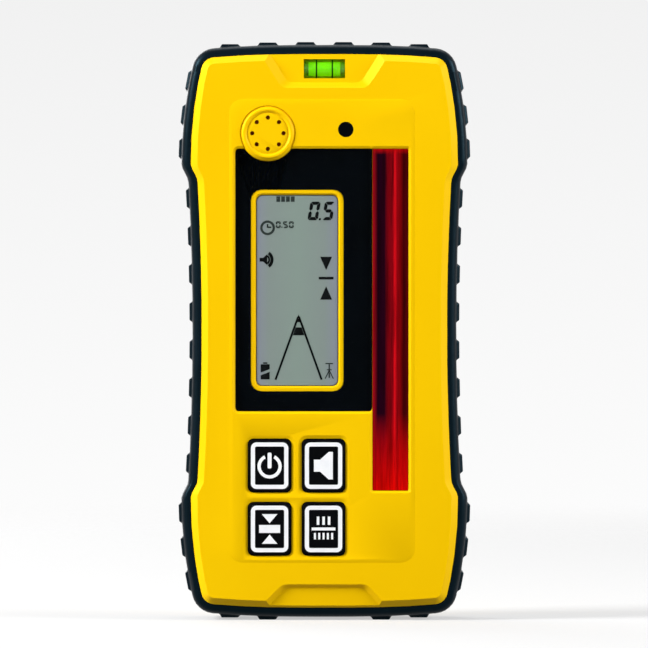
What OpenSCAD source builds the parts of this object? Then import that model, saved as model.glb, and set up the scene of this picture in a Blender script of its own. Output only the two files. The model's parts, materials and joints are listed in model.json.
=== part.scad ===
// Laser receiver for a rotating construction laser: a hand-held detector in a two-part shell with a
// rubber tread bumper, a display window, a tall red receive window, four keys and a level vial.
// It stands upright on its lower tread blocks, with its face towards -Y and its top towards +Z.
// The origin is at the middle of its footprint. Heights called "up" are measured from its middle.

/* [Layout] */
// Margin above the display panel, to the top of the tread blocks
top_margin = 31.1; // [30:0.1:34]
// Gap between the display panel and the keys
key_panel_gap = 8.05; // [6:0.05:10]
// Margin below the keys, to the soles of the tread blocks
low_margin = 18.9; // [18:0.1:22]
// Margin left of the display panel, to the rubber's widest place
left_margin = 15.7; // [15.4:0.1:17]
// Margin right of the receive window, to the rubber's widest place
right_margin = 17.2; // [16:0.1:18.5]
// Free depth between the circuit board and the battery well
inner_gap = 5.5; // [3.8:0.1:6]

/* [Outline] */
// How much each side draws in from the bulges to the waist's middle
waist_draw = 3.2; // [2:0.1:4]
// How much each side draws in from the bulges to the waist's end
shoulder_draw = 2.0; // [1:0.1:2.6]
// How much each side of a bulge draws in towards its corner
bulge_taper = 3.2; // [2:0.2:4.4]
// Length of a bulge from its step to the body's end
bulge_l = 34.55; // [33:0.05:37]
// Length of the step between waist and bulge
step_run = 5.4; // [4:0.2:6]
// Distance from the corner's start to the body's end
corner_rise = 6.2; // [5.5:0.1:7.6]
// How much each end is bowed outwards
end_crown = 1.0; // [0.4:0.1:1.6]

/* [Bumper] */
// Width of the rubber band seen from the front
band_w = 2.8; // [2:0.1:3.2]
// How far the rubber lies behind the shell's face
band_setback = 2.4; // [2.2:0.1:3.5]
// Width of the flat land beside the yellow shell
band_land = 0.5; // [0.2:0.1:0.9]
// Depth of the rounded shoulder
band_shoulder_d = 2.6; // [1.8:0.1:3.2]
// Height of a tread block
tread_h = 0.85; // [0.5:0.05:1.2]
// Length of a tread block along the edge
tread_len = 6.0; // [4:0.2:7]
// Draft of a tread block at its ends
tread_draft = 0.6; // [0.2:0.1:1.2]
// Pitch of the tread blocks along the waist and the ends
tread_pitch = 11.0; // [10.4:0.1:11.2]
// Pitch of the tread blocks along a bulge
tread_bulge_pitch = 9.9; // [9:0.1:10]
// Gap from the step to the first tread block of a bulge
tread_bulge_gap = 1.4; // [0.4:0.1:1.6]
// Gap between the tread blocks of the two halves
tread_split = 2.4; // [1.2:0.2:4]

/* [Shells] */
// Side wall of both shells
side_wall = 2.4; // [2:0.1:2.8]
// Wall behind the front face
front_wall = 3.0; // [2.8:0.1:3.4]
// Wall behind the back face
back_wall = 3.0; // [2.8:0.1:3.4]
// Width and depth of the bevel round the front face
front_bevel = 1.9; // [1:0.1:2.2]
// Radius of the back edge
back_edge_r = 3.0; // [1.5:0.1:3.2]
// Step of the raised pad on the front face
pad_step = 0.2; // [0.1:0.05:0.4]
// Depth of the upper thumb scoop at its inner edge
scoop_top_d = 1.6; // [1:0.1:1.7]
// Extra depth of the upper scoop at the body's end
scoop_top_fall = 0.6; // [0.3:0.1:0.7]
// Depth of the lower thumb scoop at its inner edge
scoop_low_d = 1.0; // [0.8:0.1:1.3]
// Extra depth of the lower scoop at the body's end
scoop_low_fall = 0.3; // [0.1:0.1:1.2]
// Length of the upper scoop
scoop_top_l = 9.9; // [9:0.1:11]
// Length of the lower scoop
scoop_low_l = 6.8; // [5:0.1:8]
// Width of the upper scoop's walls, seen from the front
scoop_top_wall = 1.7; // [0.8:0.1:2.2]
// Width of the lower scoop's walls, seen from the front
scoop_low_wall = 1.0; // [0.8:0.1:1.6]
// Width of a scoop at its inner edge
scoop_in_w = 24.6; // [20:0.2:28]
// Width of a scoop at the body's end
scoop_end_w = 37.0; // [32:0.5:42]

/* [Display] */
// Width of the opening over the liquid crystal cell
cell_view_w = 23.8; // [22:0.1:26]
// Height of the opening over the liquid crystal cell
cell_view_h = 55.4; // [52:0.1:58]
// Width of the yellow rim between that opening and the clear aperture
aperture_rim = 1.6; // [1:0.1:2]
// Black border above the clear aperture
border_top = 11.9; // [10:0.1:14]
// Black border below the clear aperture
border_low = 5.8; // [4:0.1:8]
// Black border left of the clear aperture
border_left = 4.5; // [3:0.1:6]
// Black border right of the clear aperture
border_right = 8.3; // [7.6:0.1:10]
// Thickness of the clear lens
lens_t = 1.0; // [0.8:0.1:1.2]
// Depth of the lens below the face
lens_recess = 0.4; // [0.2:0.1:0.5]
// Width of the bevel round the display panel and the receive window
window_edge = 0.7; // [0.3:0.1:1]

/* [Receive window] */
// Width of the red filter
filter_w = 10.5; // [9.6:0.1:11]
// How far the red filter reaches below the display panel
filter_below = 23; // [18:0.5:28]
// Number of photodiodes
diode_count = 12; // [8:1:14]

/* [Keys] */
// Width of a key
key_w = 12.3; // [12:0.1:13.4]
// Height of a key
key_h = 15.3; // [15:0.1:16.2]
// Gap between key columns
key_gap_x = 3.35; // [3:0.05:3.6]
// Gap between key rows
key_gap_z = 3.05; // [2.8:0.05:3.4]
// How far the keys stand proud of the face
key_proud = 0.3; // [0.2:0.1:1]
// Travel of a key
key_travel = 0.7; // [0.4:0.1:1.0]

/* [Speaker] */
// Radius of the speaker grille
grille_r = 8.0; // [7.8:0.1:8.4]
// Radius of the circle of sound holes
grille_holes_r = 4.55; // [4:0.05:5]
// Radius of a sound hole
grille_hole_r = 0.62; // [0.4:0.01:0.9]
// Number of sound holes
grille_holes = 8; // [6:1:10]

/* [Level vial] */
// Length of the vial
vial_l = 11.8; // [11:0.1:13]
// Diameter of the vial
vial_dia = 5.4; // [5:0.1:5.6]

/* [Rear display] */
// Width of the rear display panel
rear_panel_w = 34; // [32:0.5:36]
// Distance from the rear display panel to the shell's top end
rear_panel_end = 14.35; // [12:0.05:18]
// Gap between the rear display panel and the clamp pad
rear_panel_gap = 3; // [2:0.5:5]

/* [Clamp mount] */
// Radius of the clamp pad
clamp_pad_r = 10; // [9:0.5:11]
// How far the clamp pad stands proud of the back
pad_proud = 1.0; // [0.6:0.1:1.6]
// Gap between the clamp pad and the battery door
clamp_gap = 9.85; // [9:0.05:12]
// Radius of the tapped bore, for a quarter-inch clamp screw
clamp_bore_r = 2.55; // [2.4:0.05:2.7]
// Length of the brass insert
insert_l = 10; // [8:0.5:11]

/* [Battery] */
// Diameter of a battery cell
battery_dia = 14.5; // [14:0.1:14.6]
// Length of a battery cell with its nub
battery_l = 50.5; // [49:0.1:51]
// Length of a contact spring in place
spring_l = 6.0; // [5:0.1:6.5]
// Thickness of the battery door
door_t = 2.5; // [2:0.1:2.8]
// Radius of the hinge pin
pin_r = 1.0; // [0.8:0.05:1.1]

/* [Hidden] */
$fn = 48;

// Colours
yellow = "#f7c80a";
rubber = "#14181c";
black = "#0b0c0f";

// Common clearances and overruns
over = 1;
weld = 0.5;
slip = 0.2;
fit = 0.05;
round_steps = 4;

// Overall sizes, summed over what the body holds
key_pitch_x = key_w + key_gap_x;
key_pitch_z = key_h + key_gap_z;
aperture_w = cell_view_w + 2 * aperture_rim;
aperture_h = cell_view_h + 2 * aperture_rim;
panel_w = border_left + aperture_w + border_right;
panel_h = border_top + aperture_h + border_low;
board_gap = 5.0;
board_t = 1.6;
well_floor_t = 1.4;
battery_seat = 0.3;
well_top_gap = 0.9;
body_h = low_margin + key_h + key_pitch_z + key_panel_gap + panel_h + top_margin;
bulge_w = left_margin + panel_w + filter_w + right_margin;
front_d = key_proud + front_wall + board_gap + board_t + inner_gap;
body_d = front_d + well_floor_t + battery_seat + battery_dia + well_top_gap + door_t + pad_proud;
waist_w = bulge_w - 2 * waist_draw;
shoulder_w = bulge_w - 2 * shoulder_draw;

// Depth planes of the shells, from the front face to the back face
mid_up = body_h / 2;
face_y = key_proud - body_d / 2;
back_y = body_d / 2 - pad_proud;
part_y = 0;
shell_y = face_y + pad_step;
front_in_y = face_y + front_wall;
back_in_y = back_y - back_wall;

// The outline of the rubber, as half sizes
half_l = body_h / 2 - tread_h;
shell_l = half_l - band_w;
corner_h = half_l - corner_rise;
taper_start = half_l - bulge_l;
step_start = taper_start - step_run;
side_lean = atan(2 * bulge_taper / (corner_h - taper_start));
crown_power = 3;
end_lean = atan(crown_power * end_crown / (bulge_w / 2 - bulge_taper - corner_rise));
corner_r = (corner_rise - end_crown) / (cos(end_lean) - sin(side_lean));
corner_cx = half_w(corner_h) - corner_r * cos(side_lean);
corner_cz = corner_h - corner_r * sin(side_lean);
corner_x = corner_cx + corner_r * sin(end_lean);
corner_steps = 6;
waist_shares = [0.2, 0.4, 0.6, 0.8, 1];
step_shares = [0.25, 0.5, 0.75, 1];
bulge_shares = [0.3, 0.6, 0.85];
end_shares = [0.75, 0.5, 0.25];
scoop_bend = 1.6;
bend_shares = [0, 0.35, 0.65, 1];
tread_waist_count = floor((step_start - tread_len / 2) / tread_pitch + 0.5);
tread_bulge_run = corner_h - taper_start - tread_bulge_gap - tread_len;
tread_bulge_count = 1 + floor(tread_bulge_run / tread_bulge_pitch);
tread_end_count = floor((corner_x - tread_len / 2) / tread_pitch + 0.5);
tread_first_low = 1;

// Display window, placed from the panel's upper left corner
panel_left = left_margin - bulge_w / 2;
panel_up = body_h / 2 - top_margin;
panel_x = panel_left + panel_w / 2;
panel_r = 1.0;
cell_x = panel_left + border_left + aperture_w / 2;
cell_up = panel_up - border_top - aperture_h / 2;
aperture_r = 3.0;
cell_view_r = 1.6;
mask_t = 0.7;
bead_gap = 0.1;
bead_side = 0.5;
pocket_y = face_y + lens_recess + lens_t + mask_t;
lens_y = face_y + lens_recess;
cell_lap = 2.0;
cell_w = cell_view_w + 2 * cell_lap;
cell_h = cell_view_h + 2 * cell_lap;
cell_t = 2.2;
cell_rise = 0.2;
frame_wall = 1.8;
contact_w = 2.0;

// Raised pad of the front face
face_pad_side = 1.8;
face_pad_end = 16.7;
face_pad_slope = 0.8;
face_pad_w = panel_w + filter_w + 2 * face_pad_side;
face_pad_h = body_h - 2 * face_pad_end;
face_pad_x = panel_x + filter_w / 2;
face_pad_r = 4;

// Housing screws and their bosses
boss_r = 3.2;
boss_side = 12.6;
boss_end = 9.85;
boss_x = bulge_w / 2 - boss_side;
boss_up = shell_l - boss_end;
screw_r = 1.45;
screw_head_r = 2.75;
screw_head_t = 2.0;
screw_sink = 0.6;
screw_bite = 8;
screw_slot_w = 0.8;
screw_slot_d = 0.8;
cross_share = 0.65;

// Boards
board_y = front_in_y + board_gap;
board_back_y = board_y + board_t;
board_side = 2.2;
board_end = 1.3;
board_w = waist_w - 2 * (band_w + side_wall + board_side);
board_h = 2 * (boss_up - boss_r - board_end);
board_r = 2.0;
post_r = 2.3;
post_in = 2.8;
post_end = 6.0;
post_x = board_w / 2 - post_in;
post_up = board_h / 2 - post_end;
board_screw_r = 1.1;
board_screw_l = 4.0;
board_screw_head_r = 2.2;
board_screw_head_t = 1.4;
chip_t = 1.5;
chip_sizes = [[12, 12], [9, 6], [6, 9], [14, 5]];
chip_place_shares = [[-0.13, 0.18], [0.23, 0.23], [-0.35, 0.06], [0.16, -0.15]];

// Receive window
filter_h = panel_h + filter_below;
filter_x = panel_left + panel_w + filter_w / 2;
filter_cz = panel_up - filter_h / 2;
filter_r = 0.4;
filter_lap = 1.2;
filter_gap = 0.1;
slot_w = filter_w - 2 * filter_lap;
slot_h = filter_h - 2 * filter_lap;
flute_r = 1.1;
flute_pitch = 2.4;
flute_count = 3;
flute_rise = 0.5;
shroud_wall = 1.4;
diode_w = 5.4;
diode_h = 6.4;
diode_t = 1.5;

// Keys
key_in = 3.85;
key_x = panel_left + key_in + key_w / 2;
key_up = panel_up - panel_h - key_panel_gap - key_h / 2;
key_r = 1.6;
key_edge = 0.5;
key_flange = 0.9;
key_flange_t = 1.0;
key_bevel_w = 1.0;
key_bevel_d = 0.4;
plunger_r = 2.0;
dome_r = 3.0;
dome_t = 0.4;
dome_gap = 0.1;
mat_t = 0.8;
mat_margin = 1.4;
mat_gap = 0.3;
mat_r = 2.0;

// Speaker, light sensor
grille_in = 9.5;
grille_rise = 4.4;
grille_x = panel_left + grille_in;
grille_up = panel_up + grille_rise;
grille_proud = 0.45;
grille_seat_d = 1.4;
grille_groove_r = 6.0;
grille_groove_w = 0.6;
grille_groove_d = 0.25;
grille_edge = 0.9;
sound_r = 5.6;
membrane_r = 6.8;
membrane_t = 0.3;
buzzer_r = 7.0;
pipe_in = 7.7;
pipe_rise = 5.5;
pipe_x = panel_left + panel_w - pipe_in;
pipe_up = panel_up + pipe_rise;
pipe_r = 2.2;
pipe_flange_r = 3.0;
pipe_flange_t = 0.8;
pipe_stem_r = 1.5;
sensor_w = 3.2;
sensor_t = 1.0;

// Level vial in the upper scoop
vial_end = 4.25;
vial_up = shell_l - vial_end;
vial_sink = 0.1;
vial_gap = 0.1;
vial_wall = 0.7;
vial_plug_l = 1.3;
vial_pocket_wall = 1.5;
vial_line_w = 0.45;
vial_line_t = 0.12;
vial_line_gap = 4.6;
bubble_r = 1.15;
bubble_l = 4.0;
bubble_lift = 0.7;
vial_floor_d = scoop_top_d + scoop_top_fall * (scoop_top_l - vial_end) / scoop_top_l;
vial_y = shell_y + vial_floor_d + vial_sink + vial_dia / 2;

// Seal between the shells
seal_w = 1.2;
seal_t = 1.2;

// Clamp insert
insert_r = 4.5;
insert_sink = 0.2;
insert_wall = 2.2;
insert_floor = 1.2;
dimple_r = 2.0;
dimple_d = 1.4;
dimple_x = 16.5;

// Battery well, door and hinge
battery_gap = 0.5;
nub_r = 2.75;
nub_l = 1.2;
plate_t = 0.5;
plate_w = 12;
well_wall = 1.5;
well_w = 2 * battery_dia + 3 * battery_gap;
well_l = battery_l + spring_l + 2 * plate_t;
door_seal_t = 1.0;
door_in_y = back_y - door_t;
ledge_y = door_in_y - door_seal_t;
battery_y = door_in_y - well_top_gap - battery_dia / 2;
well_floor_y = battery_y - battery_dia / 2 - battery_seat;
battery_x = battery_dia / 2 + battery_gap / 2;
door_lap = 2.8;
door_w = well_w + 2 * door_lap;
door_r = 3.0;
door_gap = 0.25;
knuckle_r = 2.2;
knuckle_gap = 0.4;
hinge_end = 8.2;
hinge_y = back_y - knuckle_r;
hinge_up = hinge_end - shell_l;
well_up = hinge_up + knuckle_r + door_lap + well_l / 2;
door_top = well_up + well_l / 2 + door_lap;
clamp_up = door_top + clamp_gap + clamp_pad_r;
door_low = hinge_up + knuckle_r + knuckle_gap;
knuckle_mid_w = 8;
knuckle_end_w = 3.4;
knuckle_side_gap = 0.3;
hinge_block_wall = 1.6;
door_frame_margin = 2.2;
door_frame_t = 6;
door_seal_w = 1.5;
thumb_r = 8;
thumb_d = 1.6;
thumb_reach = 3.5;
grip_count = 3;
grip_w = 16;
grip_h = 1.2;
grip_pitch = 2.6;
grip_d = 0.5;
grip_drop = 4.5;
pin_press = 0.02;
pin_slip = 0.05;

// Rear display
rear_pocket_y = back_y - lens_recess - lens_t - mask_t;
rear_panel_low = clamp_up + clamp_pad_r + rear_panel_gap;
rear_panel_h = shell_l - rear_panel_end - rear_panel_low;
rear_panel_up = rear_panel_low + rear_panel_h / 2;
rear_aperture_margin = 7;
rear_view_lap = 1.4;
rear_board_t = 1.2;
rear_board_margin = 3.6;
rear_post_r = 2.0;
rear_post_margin = 2.2;
rear_screw_l = 3.0;
ribbon_w = 10;
ribbon_t = 0.4;
ribbon_inset = 5;

// Contact springs and leads
wire_r = 0.4;
spring_turns = 3.25;
spring_big_r = 4.6;
spring_small_r = 2.2;
spring_rings = 8;
spring_sides = 6;
lead_r = 0.7;
lead_x = 4.5;
lead_rise = 3.0;

// Key names and places, in columns and rows
key_sites = [[0, 0], [1, 0], [0, 1], [1, 1]];
function key_cx(i) = key_x + key_pitch_x * key_sites[i][0];
function key_cz(i) = mid_up + key_up - key_pitch_z * key_sites[i][1];

// Outline functions

function mix(a, b, t) = a + (b - a) * t;
function smooth(t) = t * t * (3 - 2 * t);

// Half width of the rubber at a height from the middle
function half_w(h) =
  h <= step_start ? mix(waist_w, shoulder_w, pow(h / step_start, 2)) / 2 :
  h <= taper_start ? mix(shoulder_w, bulge_w, smooth((h - step_start) / step_run)) / 2 :
  bulge_w / 2 - bulge_taper * pow((h - taper_start) / (corner_h - taper_start), 2);

// Drop of the bowed end at a distance from its middle
function end_drop(x) = end_crown * pow(x / corner_x, crown_power);

// A point of the first quadrant, set in by d: on the side, on the corner and on the end
function side_pt(h, d) =
  let (k = h * (corner_h - d * sin(side_lean)) / corner_h) [half_w(k) - d, k];
function corner_pt(a, d) = [corner_cx + (corner_r - d) * cos(a), corner_cz + (corner_r - d) * sin(a)];
function end_pt(x, d) =
  [x * (corner_cx + (corner_r - d) * sin(end_lean)) / corner_x, half_l - d - end_drop(x)];

function corner_pts(d) =
  [for (i = [0 : corner_steps]) corner_pt(mix(side_lean, 90 - end_lean, i / corner_steps), d)];

// Quadrant of a plain outline, from the side's middle to the end's middle
function plain_quadrant(d) = concat(
  [for (s = waist_shares) side_pt(s * step_start, d)],
  [for (s = step_shares) side_pt(step_start + s * step_run, d)],
  [for (s = bulge_shares) side_pt(mix(taper_start, corner_h, s), d)],
  corner_pts(d),
  [for (s = end_shares) end_pt(s * corner_x, d)]
);

// Corners of one tread block along an edge, as [place, share of its height]
function tread_block(c) = [
  [c - tread_len / 2, 0],
  [c - tread_len / 2 + tread_draft, 1],
  [c + tread_len / 2 - tread_draft, 1],
  [c + tread_len / 2, 0]
];

// Quadrant of the rubber's outline, with tread blocks raised by h from the end block number first on
function tread_quadrant(d, h, first) = concat(
  [for (i = [0 : tread_waist_count - 1]) for (t = tread_block((i + 0.5) * tread_pitch))
    side_pt(t[0], d) + [t[1] * h, 0]],
  [for (s = concat([0], step_shares)) side_pt(step_start + s * step_run, d)],
  [for (i = [0 : tread_bulge_count - 1])
    for (t = tread_block(taper_start + tread_bulge_gap + tread_len / 2 + i * tread_bulge_pitch))
    side_pt(t[0], d) + [t[1] * h, 0]],
  corner_pts(d),
  [for (i = [tread_end_count - 1 : -1 : 0])
    let (c = (i + 0.5) * tread_pitch, b = tread_block(c), level = i == first)
    for (j = [3 : -1 : 0])
    let (p = end_pt(b[j][0], d), lift = i < first || h == 0 ? 0 : b[j][1])
    [p[0], lift == 0 ? p[1] : half_l - d + h - (level ? 0 : end_drop(c))]]
);

function turned(q) = [for (i = [len(q) - 1 : -1 : 0]) q[i]];

// Full outline about the body's middle, from an upper and a lower quadrant
function full(up, low) = concat(
  [for (p = up) [p[0], mid_up + p[1]]],
  [for (p = turned(up)) [-p[0], mid_up + p[1]]],
  [for (p = low) [-p[0], mid_up - p[1]]],
  [for (p = turned(low)) [p[0], mid_up - p[1]]]
);
function shell_outline(d) = full(plain_quadrant(band_w + d), plain_quadrant(band_w + d));
function rubber_outline(d, h) = full(tread_quadrant(d, h, 0), tread_quadrant(d, h, tread_first_low));

// Rectangle with rounded corners about a middle
function rounded(x, z, w, h, r) =
  [for (q = [0 : 3]) for (i = [0 : round_steps])
    let (a = 90 * q + 90 * i / round_steps, sx = q == 0 || q == 3 ? 1 : -1, sz = q < 2 ? 1 : -1)
    [x + sx * (w / 2 - r) + r * cos(a), z + sz * (h / 2 - r) + r * sin(a)]];

function ring_at(points, y) = [for (p = points) [p[0], y, p[1]]];

// Building modules

// A plate between two depths, drawn in the plane of the face
module slab(y0, y1) {
  translate([0, y1, 0]) rotate([90, 0, 0]) linear_extrude(y1 - y0) children();
}

module plate(y0, y1, points) {
  slab(y0, y1) polygon(points);
}

// A round bar along the depth
module bar(x, z, y0, y1, r) {
  translate([x, y1, z]) rotate([90, 0, 0]) cylinder(h = y1 - y0, r = r);
}

// A round bar along the width
module cross_bar(x0, x1, y, z, r) {
  translate([x0, y, z]) rotate([0, 90, 0]) cylinder(h = x1 - x0, r = r);
}

// A block between two corners
module block(a, b) {
  translate(a) cube(b - a);
}

function middle_of(ring) = [for (p = ring) 1] * ring / len(ring);

// A skin over rings of points that run from front to back, closed from the middle of its two end rings
module loft(rings) {
  n = len(rings[0]);
  last = len(rings) - 1;
  front = len(rings) * n;
  back = front + 1;
  faces = concat(
    [for (i = [0 : n - 1]) [front, (i + 1) % n, i]],
    [for (i = [0 : n - 1]) [back, last * n + i, last * n + (i + 1) % n]],
    [for (k = [0 : last - 1]) for (i = [0 : n - 1])
      let (j = (i + 1) % n, a = k * n, b = a + n) each [[a + i, a + j, b + j], [a + i, b + j, b + i]]]
  );
  points = concat([for (ring = rings) each ring], [middle_of(rings[0]), middle_of(rings[last])]);
  polyhedron(points = points, faces = faces);
}

// Shells

// Rings of a rounded edge from the face inwards, as [set-in, depth]
function edge_rings(r) =
  [for (i = [0 : round_steps]) let (a = 90 * i / round_steps) [r * (1 - sin(a)), r * (1 - cos(a))]];

module front_skin() {
  loft([
    ring_at(shell_outline(front_bevel), shell_y),
    ring_at(shell_outline(0), shell_y + front_bevel),
    ring_at(shell_outline(0), part_y)
  ]);
}

module back_skin() {
  rings = edge_rings(back_edge_r);
  loft(concat(
    [ring_at(shell_outline(0), part_y)],
    [for (i = [len(rings) - 1 : -1 : 0]) ring_at(shell_outline(rings[i][0]), back_y - rings[i][1])]
  ));
}

// A bend from a to b that leans towards the corner c
function bend(a, c, b) = [for (s = bend_shares) mix(mix(a, c, s), mix(c, b, s), s)];

// Outline of a thumb scoop at an end, widened by g; side is 1 at the top and -1 at the bottom
function scoop(side, length, g) =
  let (reach = shell_l, flare = (scoop_end_w - scoop_in_w) / 2,
    z0 = mid_up + side * (reach - length - g), z1 = mid_up + side * (reach + over),
    w0 = scoop_in_w / 2 + g, w1 = w0 + flare * (length + g + over) / length,
    lean = [flare, side * length] / norm([flare, length]),
    half = bend([w0 - scoop_bend, z0], [w0, z0], [w0, z0] + scoop_bend * lean),
    p = concat(half, [[w1, z1], [-w1, z1]], [for (q = turned(half)) [-q[0], q[1]]]))
  side > 0 ? p : turned(p);

module scoop_cut(side, length, wall, depth, fall) {
  start = shell_l - length;
  loft([
    ring_at(scoop(side, length, over * wall / depth), shell_y - over),
    [for (p = scoop(side, length, -wall))
      [p[0], shell_y + depth + fall * (side * (p[1] - mid_up) - start) / length, p[1]]]
  ]);
}

// Outline of the raised pad, widened by g
function pad_outline(g) = rounded(face_pad_x, mid_up, face_pad_w + 2 * g, face_pad_h + 2 * g, face_pad_r + g);

// The raised pad, whose edge slopes down to the face and on into it
module face_pad() {
  loft([
    ring_at(pad_outline(-face_pad_slope), face_y),
    ring_at(pad_outline(face_pad_slope * weld / pad_step), shell_y + weld)
  ]);
}

// Pocket that holds the display lens and the red filter, set in by g
module window_pocket(y0, y1, g) {
  top = mid_up + panel_up;
  difference() {
    union() {
      plate(y0, y1, rounded(panel_x, top - panel_h / 2, panel_w - 2 * g, panel_h - 2 * g, panel_r));
      plate(y0, y1, rounded(filter_x, mid_up + filter_cz, filter_w - 2 * g, filter_h - 2 * g, filter_r));
      block([panel_x, y0, top - panel_h + 2 * g + panel_r], [filter_x, y1, top - g]);
    }
    bar(grille_x, mid_up + grille_up, y0 - over, y1 + over, grille_r + fit + g);
  }
}

// Bevel round a rounded rectangle in the face, which ends at the lens
module edge_cut(x, z, w, h, r) {
  g = window_edge * (over + lens_recess) / lens_recess;
  loft([
    ring_at(rounded(x, z, w + 2 * g, h + 2 * g, r + g), face_y - over),
    ring_at(rounded(x, z, w, h, r), face_y + lens_recess)
  ]);
}

module window_edge_cut() {
  edge_cut(panel_x, mid_up + panel_up - panel_h / 2, panel_w, panel_h, panel_r);
  edge_cut(filter_x, mid_up + filter_cz, filter_w, filter_h, filter_r);
}

function view_ring(g, y) =
  ring_at(rounded(cell_x, mid_up + cell_up, cell_view_w + 2 * g, cell_view_h + 2 * g, cell_view_r + g), y);

// Raised bead round the opening over the liquid crystal cell
module display_bead() {
  crest_y = pocket_y - mask_t + bead_gap;
  g = aperture_rim - bead_gap;
  difference() {
    loft([view_ring(g, crest_y), view_ring(g, pocket_y + weld)]);
    loft([
      view_ring(2 * bead_side, 2 * crest_y - pocket_y),
      view_ring(0, pocket_y),
      view_ring(0, pocket_y + over)
    ]);
  }
}

module vial_slot() {
  x = vial_l / 2 + vial_gap;
  z = vial_dia / 2 + vial_gap;
  block([-x, shell_y, mid_up + vial_up - z], [x, vial_y + z, mid_up + vial_up + z]);
}

module vial_pocket() {
  x = vial_l / 2 + vial_gap + vial_pocket_wall;
  z = vial_dia / 2 + vial_gap + vial_pocket_wall;
  block([-x, front_in_y - weld, mid_up + vial_up - z],
    [x, vial_y + z, mid_up + shell_l - side_wall + weld]);
}

// Four mirrored places
module at_corners(x, up) {
  for (sx = [-1, 1], sz = [-1, 1]) translate([sx * x, 0, mid_up + sz * up]) children();
}

// Outline of a key, widened by g on every side
function key_outline(i, g, r) = rounded(key_cx(i), key_cz(i), key_w + 2 * g, key_h + 2 * g, r);

module key_opening(i) {
  wide = key_bevel_w * (key_bevel_d + over) / key_bevel_d;
  loft([
    ring_at(key_outline(i, slip + wide, key_r + wide), face_y - over),
    ring_at(key_outline(i, slip, key_r), face_y + key_bevel_d)
  ]);
  plate(face_y, front_in_y + over, key_outline(i, slip, key_r));
}

module front_housing() {
  color(yellow) difference() {
    union() {
      difference() {
        front_skin();
        plate(front_in_y, part_y + over, shell_outline(side_wall));
      }
      face_pad();
      at_corners(boss_x, boss_up) bar(0, 0, front_in_y - weld, part_y, boss_r);
      at_corners(post_x, post_up) bar(0, 0, front_in_y - weld, board_y, post_r);
      vial_pocket();
    }
    scoop_cut(1, scoop_top_l, scoop_top_wall, scoop_top_d, scoop_top_fall);
    scoop_cut(-1, scoop_low_l, scoop_low_wall, scoop_low_d, scoop_low_fall);
    vial_slot();
    difference() {
      window_pocket(face_y - over, pocket_y, 0);
      display_bead();
    }
    window_edge_cut();
    plate(pocket_y - over, front_in_y + over,
      rounded(cell_x, mid_up + cell_up, cell_view_w, cell_view_h, cell_view_r));
    plate(pocket_y - over, front_in_y + over,
      rounded(filter_x, mid_up + filter_cz, slot_w, slot_h, filter_r));
    for (i = [0 : 3]) key_opening(i);
    bar(grille_x, mid_up + grille_up, face_y - over, face_y + grille_seat_d, grille_r + fit);
    bar(grille_x, mid_up + grille_up, face_y, front_in_y + over, sound_r);
    bar(pipe_x, mid_up + pipe_up, face_y - over, front_in_y + over, pipe_r + fit);
    at_corners(boss_x, boss_up) bar(0, 0, part_y - screw_bite - over, part_y + over, screw_r + fit);
    at_corners(post_x, post_up) bar(0, 0, board_y - board_screw_l, board_y + over, board_screw_r + fit);
  }
}

// Height of the battery well's two ends
well_z0 = mid_up + well_up - well_l / 2;
well_z1 = mid_up + well_up + well_l / 2;
hinge_z = mid_up + hinge_up;
door_half = door_w / 2 + door_gap;
knuckle_low_z = hinge_z - knuckle_r - knuckle_gap;

// Strips of the hinge that belong to the shell: one in the middle and one at each end
function shell_knuckles() = [
  [-knuckle_mid_w / 2, knuckle_mid_w / 2],
  [door_half - knuckle_end_w, door_half + weld],
  [-door_half - weld, knuckle_end_w - door_half]
];
function door_knuckles() =
  let (x0 = knuckle_mid_w / 2 + knuckle_side_gap, x1 = door_half - knuckle_end_w - knuckle_side_gap)
  [[x0, x1], [-x1, -x0]];

module battery_well_walls() {
  x = well_w / 2 + well_wall;
  block([-x, well_floor_y - well_floor_t, well_z0 - well_wall], [x, back_in_y + weld, well_z1 + well_wall]);
  frame = door_half + door_frame_margin;
  block([-frame, back_y - door_frame_t, hinge_z],
    [frame, back_in_y + weld, mid_up + door_top + door_frame_margin]);
  block([-frame, hinge_y - knuckle_r - knuckle_gap - hinge_block_wall, knuckle_low_z - hinge_block_wall],
    [frame, back_in_y + weld, well_z0]);
}

module door_recess() {
  z0 = mid_up + door_low;
  z1 = mid_up + door_top + door_gap;
  plate(ledge_y, back_y + over, rounded(0, (z0 + z1) / 2, 2 * door_half, z1 - z0, door_r));
  block([-door_half, ledge_y, z0 - weld], [door_half, back_y + over, z0 + door_r]);
  block([-door_half, hinge_y - knuckle_r - knuckle_gap, knuckle_low_z], [door_half, back_y + over, z0]);
}

module shell_hinge() {
  for (k = shell_knuckles()) {
    cross_bar(k[0], k[1], hinge_y, hinge_z, knuckle_r);
    block([k[0], hinge_y - knuckle_r - knuckle_gap - weld, knuckle_low_z - weld],
      [k[1], hinge_y, hinge_z + knuckle_r - knuckle_gap]);
  }
}

// Middle and size of the rear display's clear aperture and view
rear_up = mid_up + rear_panel_up;
rear_aperture_w = rear_panel_w - rear_aperture_margin;
rear_aperture_h = rear_panel_h - rear_aperture_margin;
rear_view_w = rear_aperture_w - 2 * rear_view_lap;
rear_view_h = rear_aperture_h - 2 * rear_view_lap;
rear_cell_w = rear_aperture_w;
rear_cell_h = rear_aperture_h;
rear_cell_y = back_in_y - cell_t;
rear_board_h = rear_cell_h + 2 * rear_board_margin + 2 * rear_post_r;
rear_post_up = rear_cell_h / 2 + rear_post_margin;

module rear_posts(r, y0, y1) {
  for (s = [-1, 1]) bar(0, rear_up + s * rear_post_up, y0, y1, r);
}

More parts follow.
